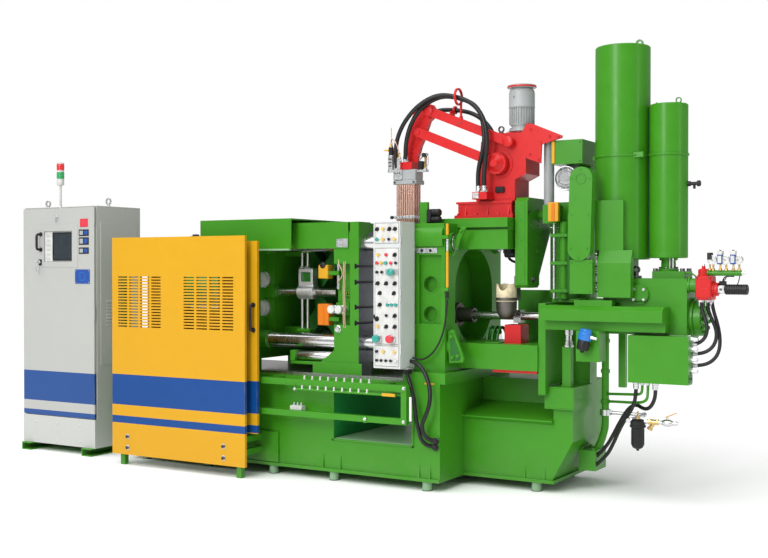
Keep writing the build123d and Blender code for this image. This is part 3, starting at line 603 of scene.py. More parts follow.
# painted shade: the door frame takes the darker front copy of the cabinet grey
for x0, x1, z0, z1 in fr:
    k.box(x0, x1, -623, -620, z0, z1, CABINET_FRONT_PAINTED_SHADE, 0.8)
k.box(-2548, -2462, -612, -608, 1501, 1737, WHITE, 1.0)
k.box(-2462, -2244, -613, -608, 1501, 1737, GREY, 1.0)
for x0, x1, z0, z1 in ((-2460, -2448, 1508, 1730), (-2258, -2246, 1508, 1730), (-2448, -2258, 1508, 1520), (-2448, -2258, 1718, 1730)):
    k.box(x0, x1, -618, -613, z0, z1, BLACK, 1.0)
k.box(-2448, -2258, -615, -612, 1520, 1718, SCREEN, 1.0)
for i in range(6):
    k.box(-2528, -2488, -613.5, -611, 1512 + i * 36, 1532 + i * 36, CABINET, 1.2)
k.make("cabinet_display", DOOR)

k = Kit()                                   # pull handle, two locks
k.pipe([(-2582, -622, 1595), (-2582, -655, 1595), (-2582, -668, 1605), (-2582, -668, 1656), (-2582, -668, 1707), (-2582, -655, 1717), (-2582, -622, 1717)], 10, BLACK)
for z in (1595, 1717):
    k.cyl("Y", -622, -630, (-2582, z), 17, BLACK, 2)
k.box(-2605, -2572, -629, -623, 1470, 1518, BLACK, 2)
k.cyl("Y", -629, -643, (-2590, 1497), 13, ZINC, 1.5)
k.box(-2592, -2588, -667, -643, 1487, 1505, ZINC, 0.8)
k.ring("X", -2591, -2589, (-661, 1477), 13, 10, ZINC, 20)
k.box(-2598, -2582, -663, -659, 1414, 1467, ZINC, 0.8)
k.cyl("Y", -620, -632, (-2407, 1845), 15, ZINC, 2)
k.box(-2411, -2403, -644, -632, 1813, 1859, ZINC, 1.5)
k.make("cabinet_handle_locks", DOOR)

k = Kit()                                   # plain plates in the column by the display
k.box(-2155, -2070, -623, -620, 1767, 1831, BUTTON_RED, 1.2)
for z0, z1 in ((1697, 1748), (1629, 1687), (1559, 1609)):
    k.box(-2167, -2061, -623, -620, z0, z1, BLACK, 1.2)
    k.box(-2157, -2120, -625, -623, z0 + 10, z1 - 10, GREY, 0.8)
    k.box(-2108, -2071, -625, -623, z0 + 10, z1 - 10, BLUE_DARK, 0.8)
k.box(-2209, -2051, -623, -620, 1328, 1439, BLUE_DARK, 1.5)
k.ring("Y", -624.5, -623, (-2130, 1384), 34, 30, BLUE, 32)
for x in (-2199, -2061):
    for z in (1338, 1429):
        k.cyl("Y", -623, -625, (x, z), 4, ZINC, 0.6, 12)
k.make("cabinet_plates", DOOR)

k = Kit()                                   # plinth screws, lifting eyes, side panel
for x in (-2653, -2413, -2165):
    for z in (228, 96):
        k.cyl("Y", -620, -623, (x, z), 9, ZINC, 1.2, 18)
        k.box(x - 5, x + 5, -623.6, -623, z - 0.9, z + 0.9, STEEL_DARK, 0.2)
for x in (-2730, -2060):
    for y in (-410,):
        k.cyl("Z", 1928, 1936, (x, y), 22, ZINC, 1.5)
        k.cyl("Z", 1936, 1948, (x, y), 12, ZINC, 1.5)
        k.ring("Y", y - 6, y + 6, (x, 1972), 28, 17, ZINC, 28)
k.box(-2792, -1998, -600, -118, 1922, 1931, CABINET, 2.0)
k.box(-2000, -1996, -560, -160, 700, 1800, CABINET, 1.5)
for z in range(8):
    k.box(-1997, -1992, -500, -220, 1000 + z * 26, 1014 + z * 26, CABINET, 2.0)
k.make("cabinet_trim", "machine")

k = Kit()                                   # signal tower
X, Y = -2600, -400
k.lathe("Z", (X, Y), [(1928, 30), (1934, 30), (1938, 22), (1946, 12), (1952, 10.5)], ZINC, 24)
k.lathe("Z", (X, Y), [(1950, 9.5), (2112, 9.5), (2116, 14), (2122, 26), (2126, 29), (2168, 29), (2172, 27)], WHITE, 24)
k.lathe("Z", (X, Y), [(2172, 26), (2176, 30), (2224, 30), (2228, 26)], LENS_GREEN, 32)
k.lathe("Z", (X, Y), [(2227, 28.5), (2240, 28.5)], WHITE, 32)
k.lathe("Z", (X, Y), [(2239, 26), (2243, 30), (2290, 30), (2294, 26)], LENS_RED, 32)
k.lathe("Z", (X, Y), [(2293, 29), (2300, 29), (2305, 22), (2308, 6), (2308, 0)], WHITE, 32)
for i in range(5):
    for z0 in (2180, 2248):
        k.ring("Z", z0 + i * 9, z0 + 3 + i * 9, (X, Y), 31, 28, LENS_GREEN if z0 < 2200 else LENS_RED, 32)
k.make("signal_lamp_stack", "machine", ["signal_tower"])

# ---- guards -----------------------------------------------------------------------
k = Kit()
for x in (-1511, -617):
    for z in (213, 132):
        k.capscrew("Y", -780, (x, z), 13, 12, STEEL_DARK)
        k.cyl("Y", -780, -782, (x, z), 19, ZINC, 0.6)
for x, z in ((-1640, 1640), (-452, 1640), (-1640, 110), (-452, 110)):
    k.capscrew("Y", -758, (x, z), 8, 8, ZINC, 1)
k.make("guard_bolts", "machine")

k = Kit()                                   # handle with rounded ends in place of the square one
k.pipe([(-415, -700, 1022), (-415, -728, 1022), (-415, -738, 1030), (-415, -738, 1108), (-415, -738, 1187), (-415, -728, 1195), (-415, -700, 1195)], 9.5, BLACK)
for z in (1022, 1195):
    k.cyl("Y", -700, -710, (-415, z), 17, BLACK, 2)
    k.capscrew("Y", -710, (-415, z), 6, 3, STEEL_DARK)
k.make("door_pull", "safety_door", ["door_handle"])

k = Kit()                                   # window gasket and its screws
for x0, x1, z0, z1 in ((-1078, -1056, 1147, 1523), (-724, -702, 1147, 1523), (-1056, -724, 1147, 1169), (-1056, -724, 1501, 1523)):
    k.box(x0, x1, -705, -700, z0, z1, BLACK, 1.5)
    k.box(x0, x1, -676, -671, z0, z1, BLACK, 1.5)
for x in (-1067, -890, -713):
    for z in (1158, 1512):
        k.capscrew("Y", -705, (x, z), 5, 3, ZINC)
k.make("door_window_gasket", "safety_door")

# ---- operator panel ------------------------------------------------------------------
k = Kit()
Y = -650
for z0, z1 in ((1609, 1741), (957, 1579), (814, 948)):
    k.box(533, 713, Y - 1.5, Y, z0, z1, WHITE, 0.4)
    for x0, x1, a, b in ((533, 535, z0, z1), (711, 713, z0, z1), (535, 711, z0, z0 + 2), (535, 711, z1 - 2, z1)):
        k.box(x0, x1, Y - 2.4, Y - 1.5, a, b, BLACK, 0.2)
PLATE = Y - 1.5


def button(x, z, mat, r=11.0, h=14.0):
    k.lathe("Y", (x, z), [(PLATE, r + 4.5), (PLATE - 2.5, r + 4.5), (PLATE - 4, r + 3)], ZINC, 20)
    k.lathe("Y", (x, z), [(PLATE - 3, r), (PLATE - h * 0.8, r), (PLATE - h, r - 2), (PLATE - h, 0)], mat, 20)


def selector(x, z, turn=0.6):
    k.lathe("Y", (x, z), [(PLATE, 14), (PLATE - 2.5, 14), (PLATE - 4, 12.5), (PLATE - 10, 12), (PLATE - 11, 10.5)], BLACK, 20)
    tf = Matrix.Translation((x, PLATE - 11, z)) @ Matrix.Rotation(turn, 4, "Y")
    k.box(-4, 4, -10, 1, -14, 14, BLACK, 1.5, tf)


for x, z, kind in ((552, 1702, "k"), (596, 1702, "y"), (644, 1702, "k"), (686, 1702, "k"),
                   (552, 1635, "t"), (596, 1635, "y"), (641, 1635, "b"), (681, 1635, "y"),
                   (559, 1535, "y"), (620, 1535, "r"), (684, 1535, "k"),
                   (552, 1482, "r"), (584, 1482, "y"), (617, 1482, "t"), (655, 1482, "r"), (692, 1482, "b"),
                   (552, 1423, "b"), (588, 1423, "b"),
                   (556, 1351, "k"), (620, 1351, "k"), (684, 1351, "k"), (572, 1288, "k"), (678, 1288, "k"),
                   (572, 1212, "k"), (630, 1212, "t"), (661, 1212, "t"), (692, 1212, "t"),
                   (622, 1143, "b"), (684, 1143, "k"), (559, 1072, "y"), (620, 1072, "k"), (684, 1072, "k"),
                   (550, 908, "b"), (598, 908, "y"), (681, 908, "y"),
                   (550, 851, "b"), (582, 851, "b"), (618, 851, "b"), (654, 851, "b"), (692, 851, "w")):
    if kind == "k":
        selector(x, z, 0.5 + 0.4 * rnd.random())
    else:
        button(x, z, {"y": BUTTON_YELLOW, "t": TEAL, "r": BUTTON_RED, "b": BLACK, "w": WHITE}[kind], 11 if kind != "b" else 9.5)
k.box(612, 708, PLATE - 2, PLATE, 1404, 1442, GREY, 6)
k.lathe("Y", (660, 1423), [(PLATE - 2, 13), (PLATE - 16, 13), (PLATE - 18, 24), (PLATE - 26, 25), (PLATE - 31, 20), (PLATE - 33, 8), (PLATE - 33, 0)], TEAL, 28)
for x, mat in ((560, TEAL), (662, BUTTON_RED)):
    k.lathe("Y", (x, 993), [(PLATE, 29), (PLATE - 10, 29), (PLATE - 14, 25), (PLATE - 20, 24)], ZINC, 28)
    k.lathe("Y", (x, 993), [(PLATE - 18, 20), (PLATE - 30, 21), (PLATE - 36, 26), (PLATE - 44, 26), (PLATE - 50, 20), (PLATE - 51, 0)], mat, 28)
k.pipe([(548, PLATE, 1120), (548, PLATE - 26, 1120), (552, PLATE - 40, 1128), (556, PLATE - 46, 1148)], 5, BLACK)
k.lathe("Y", (548, 1120), [(PLATE, 17), (PLATE - 6, 17), (PLATE - 16, 9), (PLATE - 18, 8)], BLACK, 20)
k.make("panel_controls", "machine")

k = Kit()                                   # door edge, hinges and gland plate of the panel
k.box(720, 723, -640, -470, 812, 1738, PANEL, 1.0)
for z in (930, 1275, 1620):
    k.cyl("Z", z - 40, z + 40, (722, -645), 6, ZINC, 1)
k.box(640, 735, -575, -480, 792, 800, GREY, 1.5)
for x, y in ((700, -540), (708, -515)):
    k.lathe("Z", (x, y), [(800, 20), (776, 20), (772, 17), (760, 16)], BLACK, 24)
k.box(560, 700, -470, -430, 980, 1010, GREEN, 2)
k.make("panel_fittings", "machine")

# ---- spray robot ------------------------------------------------------------------------
def turned(x, y, a):
    return Matrix.Translation((x, y, 0)) @ Matrix.Rotation(a, 4, "Z")


def hose_nut(kit, x, y, z, mat, s=1):
    """Hex nut and crimped sleeve around a hose end that stands along Z."""
    kit.lathe("Z", (x, y), [(z, 19), (z + s * 2, 22), (z + s * 13, 22), (z + s * 15, 19)], mat, 6)
    kit.lathe("Z", (x, y), [(z + s * 14, 18.6), (z + s * 22, 18.6), (z + s * 24, 17.6), (z + s * 30, 18.6), (z + s * 40, 18.4), (z + s * 43, 16.6)], mat, 24)


k = Kit()
k.box(418, 586, -206, -94, 2050, 2125, GREY, 5)
k.box(412, 592, -212, -88, 2022, 2052, GREY, 4)
k.box(416, 484, -216, -206, 2054, 2126, ZINC, 2)
for x in (432, 450, 468):
    k.cyl("Y", -215.5, -217.5, (x, 2100), 6, STEEL_DARK, 0.5, 16)
for x in (424, 580):
    k.capscrew("Z", 2125, (x, -104), 7, 8, STEEL_DARK, 1)
    k.capscrew("Y", -212, (x + (4 if x < 500 else -4), 2037), 7, 7, STEEL_DARK)
for i in range(10):
    for j in range(4):
        x, y = 436 + 14.6 * i, -192 + 27 * j
        k.lathe("Z", (x, y), [(1738, 4.8), (1744, 6.2), (2024, 6.2)], COPPER, 12)
        k.lathe("Z", (x, y), [(1727, 2.0), (1731, 4.4), (1740, 4.4)], BRASS, 10)
for y in (-208, -94):
    k.box(422, 582, y - 4, y + 4, 1788, 1808, ZINC, 1.5)
for x in (424, 580):
    k.box(x - 4, x + 4, -210, -92, 1788, 1808, ZINC, 1.5)
for i in range(6):
    k.cyl("Y", -211.5, -213, (440 + 25 * i, 1798), 4, STEEL_DARK, 0.5, 12)
k.lathe("X", (-204, 1798), [(421, 5), (410, 5), (408, 11), (394, 12), (390, 9), (390, 0)], BLACK, 20)
k.box(490, 550, -84, -34, 2060, 2150, GREY, 4)
k.box(494, 546, -96, -80, 2064, 2118, GREY, 2)
for x, y, z in ((510, -60, 2149), (434, -192, 2124), (499, -188, 2174)):
    hose_nut(k, x, y, z, ZINC)
k.make("spray_head_block", "spray_wrist", ["spray_head"])

k = Kit()                                   # valves and small pipes at both sides of the head
k.box(378, 430, -228, -196, 2108, 2124, ZINC, 2)
k.box(380, 414, -226, -194, 2124, 2226, ZINC, 3)
for z in (2146, 2170, 2194):
    k.box(384, 410, -227.5, -225.5, z, z + 10, STEEL_DARK, 0.8)
k.box(384, 411, -224, -197, 2225, 2281, BLACK, 2.5)
k.lathe("Z", (398, -210), [(2280, 12), (2292, 12), (2296, 8), (2312, 8), (2316, 3), (2414, 3), (2418, 1.5)], BRASS, 12)
k.lathe("X", (-210, 2262), [(385, 9), (374, 9), (370, 5), (344, 4.2), (340, 3)], AMBER, 14)
k.box(455, 481, -236, -208, 2120, 2206, ZINC, 3)
k.cyl("Z", 2205, 2238, (468, -222), 11, BRASS, 2, 6)
k.pipe([(398, -210, 2306), (410, -232, 2340), (452, -250, 2318), (470, -240, 2270), (468, -222, 2230)], 4, COPPER)
k.box(586, 660, -190, -150, 2104, 2122, ZINC, 2)
k.box(600, 632, -196, -160, 2121, 2178, BLACK, 2.5)
k.lathe("Z", (647, -174), [(2121, 13), (2136, 13), (2138, 9), (2196, 9), (2198, 12), (2206, 12)], BRASS, 6)
k.box(626, 662, -192, -160, 2205, 2230, BLACK, 2.5)
k.pipe([(640, -182, 2122), (664, -182, 2128), (672, -182, 2172), (666, -182, 2222), (634, -182, 2240), (610, -182, 2222), (608, -182, 2176)], 4.5, ZINC)
k.pipe([(590, -160, 2122), (588, -160, 2164), (604, -162, 2200), (628, -168, 2214)], 4, COPPER)
k.make("spray_valves", "spray_wrist")

k = Kit()                                   # turret: ribs, bolts, pivot boss, hose nuts, lifting eye
for x in (939, 1099, 1250):
    k.prism("X", [(-159, 1801), (-141, 1801), (-141, 1864)], x - 5, x + 5, RED, 1.0)
for x in (884, 1016, 1176, 1274):
    k.hexhead("Z", 1802, (x, -151), 15, 10, RED, True, 1)
k.ring("Y", -128, -121, (1176, 2136), 95, 73, RED, 48)
for i in range(8):
    a = math.pi * (i + 0.5) / 4
    k.capscrew("Y", -128, (1176 + 84 * math.cos(a), 2136 + 84 * math.sin(a)), 5, 1.6, RED)
hose_nut(k, 1050, -180, 1949, ZINC)
hose_nut(k, 1105, -208, 1949, ZINC)
k.box(1030, 1074, -233, -227, 1907, 1946, ZINC, 2)
k.box(1150, 1214, -142, -121, 1948, 1986, BLACK, 4)
for x in (1163, 1182, 1201):
    k.cyl("Y", -141, -148, (x, 1966), 7, BLACK, 1.5, 16)
k.lathe("Z", (1155, -50), [(2338, 18), (2352, 18), (2355, 12), (2358, 9)], STEEL_DARK, 20)
k.ring("Y", -56, -44, (1155, 2374), 22, 13, STEEL_DARK, 28)
for x, z in ((1398, 2352), (1392, 2192), (1452, 2152), (1466, 2262), (1530, 2300), (1590, 2290)):
    k.capscrew("Y", -122, (x, z), 8, 7, RED)
for x, y in ((1230, -92), (1372, -92), (1230, 42), (1372, 42)):
    k.hexhead("Z", 2345, (x, y), 15, 10, ZINC, True, 1)
k.prism("Y", [(1062, 1906), (1268, 1906), (1268, 1936), (1062, 1936)], -125, -121, RED, 1.2)
k.make("turret_fittings", "machine")

k = Kit()                                   # pivot caps of the arms, on the arms
for x, z in ((1176, 2136),):
    k.lathe("Y", (x, z), [(-208, 27), (-214, 27), (-218, 23), (-218, 0)], RED, 32)
    for i in range(6):
        a = math.pi * i / 3
        k.capscrew("Y", -182, (x + 62 * math.cos(a), z + 62 * math.sin(a)), 5, 4, RED)
k.make("lower_arm_hub", "spray_lower_arm")
k = Kit()
k.lathe("Y", (665, 2518), [(-169, 36), (-177, 36), (-180, 32), (-182, 22), (-182, 0)], RED, 32)
k.lathe("Y", (1256, 2276), [(-169, 36), (-177, 36), (-180, 32), (-182, 22), (-182, 0)], RED, 32)
k.lathe("Z", (905, -150), [(2430, 20), (2452, 14), (2466, 12), (2470, 9)], RED, 20)
k.box(884, 926, -172, -128, 2398, 2442, RED, 4)
for x in (893, 917):
    k.capscrew("Y", -172, (x, 2420), 5, 4, STEEL_DARK)
k.make("upper_arm_caps", "spray_upper_arm")

# ---- motors -------------------------------------------------------------------------------
k = Kit()
X, Y = 1301, -45
k.lathe("Z", (X, Y), [(2345, 66), (2350, 86), (2362, 86), (2364, 70), (2384, 66), (2388, 74), (2394, 76), (2508, 76)], GREY, 48)
for i in range(30):
    k.box(70, 84, -2.2, 2.2, 2396, 2506, GREY, 1.2, turned(X, Y, 2 * math.pi * i / 30))
k.lathe("Z", (X, Y), [(2502, 82), (2506, 86), (2512, 86.5), (2514, 85), (2604, 85), (2622, 80), (2630, 70), (2634, 66)], GREY, 48)
k.lathe("Z", (X, Y), [(2632, 50), (2636, 86), (2641, 95), (2652, 95), (2654, 92)], GREY, 48)
k.ring("Z", 2638, 2648, (X, Y), 96.5, 91, RED, 48)
for i in range(4):
    a = math.pi * (i + 0.5) / 2
    k.hexhead("Z", 2362, (X + 78 * math.cos(a), Y + 78 * math.sin(a)), 11, 7, STEEL_DARK, False, 1)
k.cyl("Y", -130, -133, (X - 20, 2572), 5, STEEL_DARK, 0.8, 14)
k.box(X - 32, X + 32, 30, 62, 2420, 2484, GREY, 5)
X, Z = 1617, 2030
k.lathe("Y", (X, Z), [(160, 60), (154, 68), (-40, 68), (-44, 64)], GREY, 48)
for i in range(36):
    a = 2 * math.pi * i / 36
    tf = Matrix.Translation((X, 0, Z)) @ Matrix.Rotation(a, 4, "Y")
    k.box(62, 78, -42, 138, -1.8, 1.8, ZINC, 0.9, tf)
    k.box(22, 70, -66, -52, -1.6, 1.6, ZINC, 0.8, tf)
k.ring("Y", -70, -40, (X, Z), 78.5, 72, ZINC, 48)
k.lathe("Y", (X, Z), [(-46, 26), (-62, 26), (-69, 20), (-70, 0)], GREY, 28)
for r in (38, 54):
    k.ring("Y", -69, -66, (X, Z), r + 1.6, r - 1.6, ZINC, 40)
k.box(X - 30, X + 30, 20, 90, 2098, 2118, GREY, 3)
k.make("drive_motor_pair", "machine", ["drive_motors"])

# ---- ladle --------------------------------------------------------------------------------
k = Kit()
CX, CY, SEG = 1228, -124, 56
rows = [(1112, 10), (1114, 26), (1124, 42), (1142, 56), (1163, 64.5), (1184, 68), (1230, 69), (1290, 68)]
inner = [(1240, 57), (1196, 56), (1186, 44), (1185, 12)]
verts = []


def rim(a):
    """Height of the rim around the cup: a pouring notch towards the front."""
    d = abs((a + math.pi / 2 + math.pi) % (2 * math.pi) - math.pi)
    return 1345 - 46 * max(0.0, 1 - (d / 0.62) ** 2) - 3 * math.sin(5 * a)


for i in range(SEG):
    a = 2 * math.pi * i / SEG
    top = rim(a)
    line = rows + [(top - 4, 66.5), (top, 64), (top - 1, 60), (top - 8, 57.5)] + inner
    verts += [(CX + r * math.cos(a), CY + r * math.sin(a), z) for z, r in line]
n = len(rows) + 4 + len(inner)
low, high = [], []
for i in range(SEG):
    j = (i + 1) % SEG
    for q in range(n - 1):
        (low if q < 6 else high).append([i * n + q, j * n + q, j * n + q + 1, i * n + q + 1])
low.append([i * n for i in range(SEG)][::-1])
high.append([i * n + n - 1 for i in range(SEG)])
k.add(verts, high, REFRACTORY)
k.mats.append(IRON)
for f in low:
    k.f.append(f)
    k.fm.append(1)
k.ring("Z", 1236, 1256, (CX, CY), 71.5, 66, IRON, 40)
k.box(1276, 1292, -112, -38, 1236, 1398, STEEL_DARK, 3)
k.cyl("X", 1284, 1394, (-60, 1375), 15, STEEL, 2, 24)
k.hexhead("X", 1394, (-60, 1375), 26, 10, STEEL_DARK, True, 1)
for z in (1262, 1300):
    k.hexhead("X", 1276, (-75, z), 14, 8, STEEL_DARK, True, -1)
k.make("ladle_pot", "ladle", ["ladle_cup"])

k = Kit()                                   # ladle arm: hinge pins, screws and edge strap
for z in (1560, 1730):
    for y in (-110, 20):
        k.capscrew("X", 1387, (y, z), 6, 5, GREEN, 1)
k.cyl("X", 1387, 1394, (45, 1800), 44, GREEN, 2, 32)
k.cyl("X", 1300, 1293, (45, 1800), 44, GREEN, 2, 32)
for x, s in ((1387, 1), (1300, -1)):
    k.lathe("X", (-136, 1818), [(x, 9), (x + s * 8, 9), (x + s * 10, 6), (x + s * 10, 0)], BLACK, 16)
k.box(1318, 1370, -153, -149, 1350, 1880, GREEN, 1.5)
for z in (1372, 1500, 1630, 1760, 1862):
    k.capscrew("Y", -153, (1344, z), 4.5, 3, GREEN)
k.make("ladle_arm_fittings", "ladle_swing_arm")

k = Kit()                                   # column: scale sleeve, cap, guide tubes, amber box, case screws
prof = [(1862, 33)]
for i in range(68):
    z = 1864 + i * 6
    prof += [(z, 33.6), (z + 3.6, 33.6), (z + 4.2, 32.4), (z + 5.6, 32.4)]
prof += [(2274, 33)]
k.lathe("Z", (1492, -40), prof, GREY, 28)
k.lathe("Z", (1492, -40), [(2268, 42), (2296, 42), (2300, 34), (2304, 18), (2322, 16), (2326, 10), (2336, 9)], GREEN, 28)
k.box(1470, 1562, -62, 20, 2240, 2268, GREEN, 4)
k.box(1512, 1584, -112, -80, 1750, 1874, AMBER, 3)
k.box(1536, 1560, -115, -111, 1756, 1868, ORANGE, 1.5)
k.cyl("Z", 1250, 1750, (1590, -20), 30, GREEN, 2, 28)
k.cyl("Z", 1250, 1750, (1528, -40), 12, ZINC, 1, 20)
# painted shade: darker green copy on this tube
k.cyl("Z", 1290, 1700, (1640, -60), 16, GREEN_PAINTED_SHADE, 1, 20)
for z in (1290, 1470, 1650):
    k.box(1510, 1668, -70, 24, z, z + 22, GREEN, 3)
k.box(1500, 1690, -10, 172, 1226, 1252, GREEN, 3)
for x, z in ((1752, 2003), (1864, 2003), (1742, 1570), (1850, 1570), (1808, 2060), (1796, 1514), (1747, 1780), (1857, 1780)):
    k.capscrew("Y", -300, (x, z), 5, 4, GREEN)
k.ring("Y", -304, -299, (1808, 2003), 34, 30, GREEN, 32)
for x, z in ((1745, 1304), (1866, 1304), (1745, 1484), (1866, 1484)):
    k.capscrew("Y", -290, (x, z), 5, 4, GREEN)
for x, z in ((1545, 2134), (1726, 2134), (1545, 2256), (1726, 2256)):
    k.capscrew("Y", -100, (x, z), 6, 5, GREEN)
k.box(1536, 1556, -106, -99, 2124, 2266, AMBER, 1.5)
k.make("ladle_column_fittings", "machine")

# ---- accumulators ---------------------------------------------------------------------------
k = Kit()
for x, r, z0, z1 in ((1974, 171.5, 1503, 2842), (2269, 117, 1511, 2462)):
    k.ring("Z", 2144, 2157, (x, 0), r + 6.5, r - 1, GREEN, 64)
    k.ring("Z", z1 - 8, z1 + 1, (x, 0), r - 8, r - 30, GREEN, 64)
    k.ring("Z", z0 + 20, z0 + 26, (x, 0), r + 0.8, r - 2, GREEN, 64)
k.box(2080, 2148, -130, -98, 2134, 2168, GREEN, 3)
k.hexhead("Y", -130, (2096, 2151), 12, 8, GREEN, True, -1)
k.box(1778, 1804, -14, 14, 2138, 2164, GREEN, 2)
k.lathe("Z", (2082, 0), [(2841, 20), (2847, 20), (2849, 12), (2852, 11)], GREEN, 24)
k.lathe("Z", (1862, 0), [(2841, 16), (2846, 16), (2848, 10), (2862, 9), (2864, 5)], GREEN, 20)
k.lathe("Z", (2330, 0), [(2461, 16), (2466, 16), (2468, 9), (2472, 8)], GREEN, 20)
k.ring("Y", -5, 5, (2330, 2486), 19, 12, GREEN, 28)
k.lathe("Z", (2192, 0), [(2461, 12), (2466, 12), (2468, 7), (2480, 6), (2482, 3)], GREEN, 18)
k.lathe("Z", (2269, 0), [(1430, 62), (1446, 62), (1448, 46), (1496, 44), (1498, 56), (1512, 56)], GREEN, 36)
for i in range(6):
    a = math.pi * (i + 0.5) / 3
    k.hexhead("Z", 1446, (2269 + 53 * math.cos(a), 53 * math.sin(a)), 13, 9, STEEL_DARK, False, 1)
# painted highlight: two thin chrome rods in front of the neck stand in for the highlight stripes on its right side
for x in (2290, 2309):
    k.cyl("Z", 1446, 1512, (x, -46), 6, CHROME, 1, 16)
k.lathe("X", (0, 1968), [(2385, 16), (2404, 16), (2408, 11), (2444, 11), (2446, 18), (2462, 19), (2466, 15), (2466, 0)], BLACK, 20)
k.cyl("Z", 1936, 1968, (2428, 0), 8, BLACK, 1.5, 16)
k.make("accumulator_fittings", "machine")

# ---- shot end -------------------------------------------------------------------------------
k = Kit()                                   # shot cylinder block: flange studs, cap screws, round cap, eye
k.ring("X", 2425, 2446, (0, 1142), 124, 104, GREEN, 56)
for i in range(12):
    a = 2 * math.pi * (i + 0.5) / 12
    k.hexhead("X", 2490, (84 * math.cos(a), 1142 + 84 * math.sin(a)), 22, 16, GREEN, True, 1)
k.lathe("X", (0, 1142), [(2489, 52), (2500, 52), (2503, 48), (2503, 30), (2510, 28), (2512, 0)], GREEN, 40)
for a in (45, 135, 225, 315):
    x, z = 2134 + 44 * math.cos(math.radians(a)), 1287 + 44 * math.sin(math.radians(a))
    k.capscrew("Y", -168, (x, z), 9, 9, ZINC)
k.ring("Y", -170, -167, (2134, 1287), 58, 54, GREEN, 48)
for x in (2206, 2374):
    for y in (-62, 82):
        k.capscrew("Z", 1430, (x, y), 15, 18, STEEL_DARK, 1)
k.cyl("Z", 1384, 1400, (2100, -110), 24, STEEL_DARK, 2, 28)
k.cyl("Z", 1400, 1424, (2100, -110), 15, STEEL_DARK, 2, 24)
k.ring("Y", -118, -102, (2100, 1440), 24, 12, STEEL_DARK, 28)
k.box(2056, 2094, -140, 20, 1384, 1402, GREEN, 3)
k.pipe([(2380, -60, 1420), (2398, -60, 1420), (2436, -62, 1416), (2462, -72, 1396), (2462, -84, 1372)], 5, GREEN)
k.make("shot_block_fittings", "machine")

k = Kit()                                   # valve: body, round head, coupling, coil, adapter, hose nuts
k.box(2478, 2572, -165, -40, 1258, 1402, RED, 6)
k.box(2484, 2566, -169, -163, 1272, 1330, RED, 2)
k.lathe("Z", (2512, -100), [(1400, 36), (1408, 36), (1410, 32), (1438, 32), (1444, 26), (1446, 12), (1462, 10), (1464, 0)], RED, 36)
k.lathe("Z", (2512, -100), [(1446, 8), (1470, 8), (1474, 5)], ZINC, 16)
for x in (2488, 2562):
    for z in (1268, 1392):
        k.capscrew("Y", -165, (x, z), 6, 6, STEEL_DARK)
k.lathe("X", (-100, 1322), [(2571, 48), (2582, 48), (2584, 40), (2600, 40)], RED, 36)
k.box(2598, 2643, -125, -75, 1297, 1347, ZINC, 5)
k.cyl("Y", -125, -131, (2620, 1322), 8, STEEL_DARK, 1, 6)
prof = [(2642, 28), (2646, 31)]
for i in range(7):
    x = 2654 + i * 14
    prof += [(x, 31), (x + 2, 29.2), (x + 4, 29.2), (x + 6, 31)]
prof += [(2768, 31), (2773, 27), (2773, 12), (2770, 10), (2770, 0)]
k.lathe("X", (-100, 1322), prof, BLACK, 36)
k.lathe("X", (-100, 1345), [(2425, 50), (2436, 50), (2438, 42), (2470, 42), (2472, 47), (2478, 47)], GREEN, 36)
for x, y in ((2504, -136), (2534, -106), (2556, -84)):
    k.lathe("Z", (x, y), [(1259, 17), (1256, 17), (1246, 17), (1244, 14), (1224, 13.4), (1220, 12)], ZINC, 6)
k.box(2600, 2640, -88, -60, 1347, 1372, BLACK, 3)
k.pipe([(2620, -74, 1370), (2624, -74, 1392), (2650, -80, 1402), (2690, -92, 1400)], 4, BLACK)
k.make("servo_valve_unit", "machine", ["servo_valve"])

k = Kit()                                   # gauge bar, three gauges, pressure switches
k.cyl("X", 2546, 2740, (-108, 1420), 17, GREEN, 2, 28)
k.lathe("X", (-108, 1420), [(2739, 13), (2752, 13), (2754, 8), (2766, 6)], ZINC, 6)
k.lathe("X", (-108, 1420), [(2547, 19), (2538, 19), (2535, 15)], GREEN, 24)
for x in (2572, 2648, 2724):
    k.lathe("Z", (x, -108), [(1434, 11), (1446, 11), (1448, 6.5), (1474, 6.5)], BRASS, 6)
    k.lathe("Y", (x, 1497), [(-112, 22), (-115, 26), (-134, 26), (-137, 27.5), (-141, 27.5), (-142, 25.5), (-138.5, 24.5), (-138.5, 0)], ZINC, 36)
    k.lathe("Y", (x, 1497), [(-137, 24.6), (-139.2, 24.6), (-139.2, 0)], WHITE, 36)
    for i in range(11):
        a = math.radians(225 - 27 * i)
        tf = Matrix.Translation((x, 0, 1497)) @ Matrix.Rotation(-a, 4, "Y")
        k.box(19, 23, -139.7, -139, -0.5, 0.5, BLACK, 0.1, tf)
    tf = Matrix.Translation((x, 0, 1497)) @ Matrix.Rotation(math.radians(-140 - (x - 2572) * 0.3), 4, "Y")
    k.box(-6, 18, -140.4, -139.4, -0.9, 0.9, BLACK, 0.2, tf)
    k.cyl("Y", -139, -141.4, (x, 1497), 3, STEEL_DARK, 0.5, 14)
for x in (2618, 2694):
    k.lathe("Z", (x, -124), [(1434, 10), (1446, 10), (1448, 6), (1474, 6)], BRASS, 6)
    k.box(x - 15, x + 15, -150, -108, 1472, 1530, BLUE_DARK, 3)
    k.box(x - 16, x + 16, -152, -106, 1528, 1552, WHITE, 3)
    k.box(x - 11, x + 11, -151.5, -149.5, 1480, 1522, WHITE, 1)
    k.cyl("Z", 1550, 1557, (x, -129), 7, BLACK, 1, 16)
k.lathe("Z", (2556, -124), [(1436, 9), (1446, 9), (1448, 6), (1502, 6)], BRASS, 6)
k.box(2543, 2571, -144, -106, 1500, 1542, BLACK, 3)
k.pipe([(2648, -96, 1404), (2646, -98, 1386), (2630, -100, 1372)], 3, BLACK)
k.pipe([(2724, -96, 1404), (2722, -98, 1378), (2712, -100, 1352)], 3, BLACK)
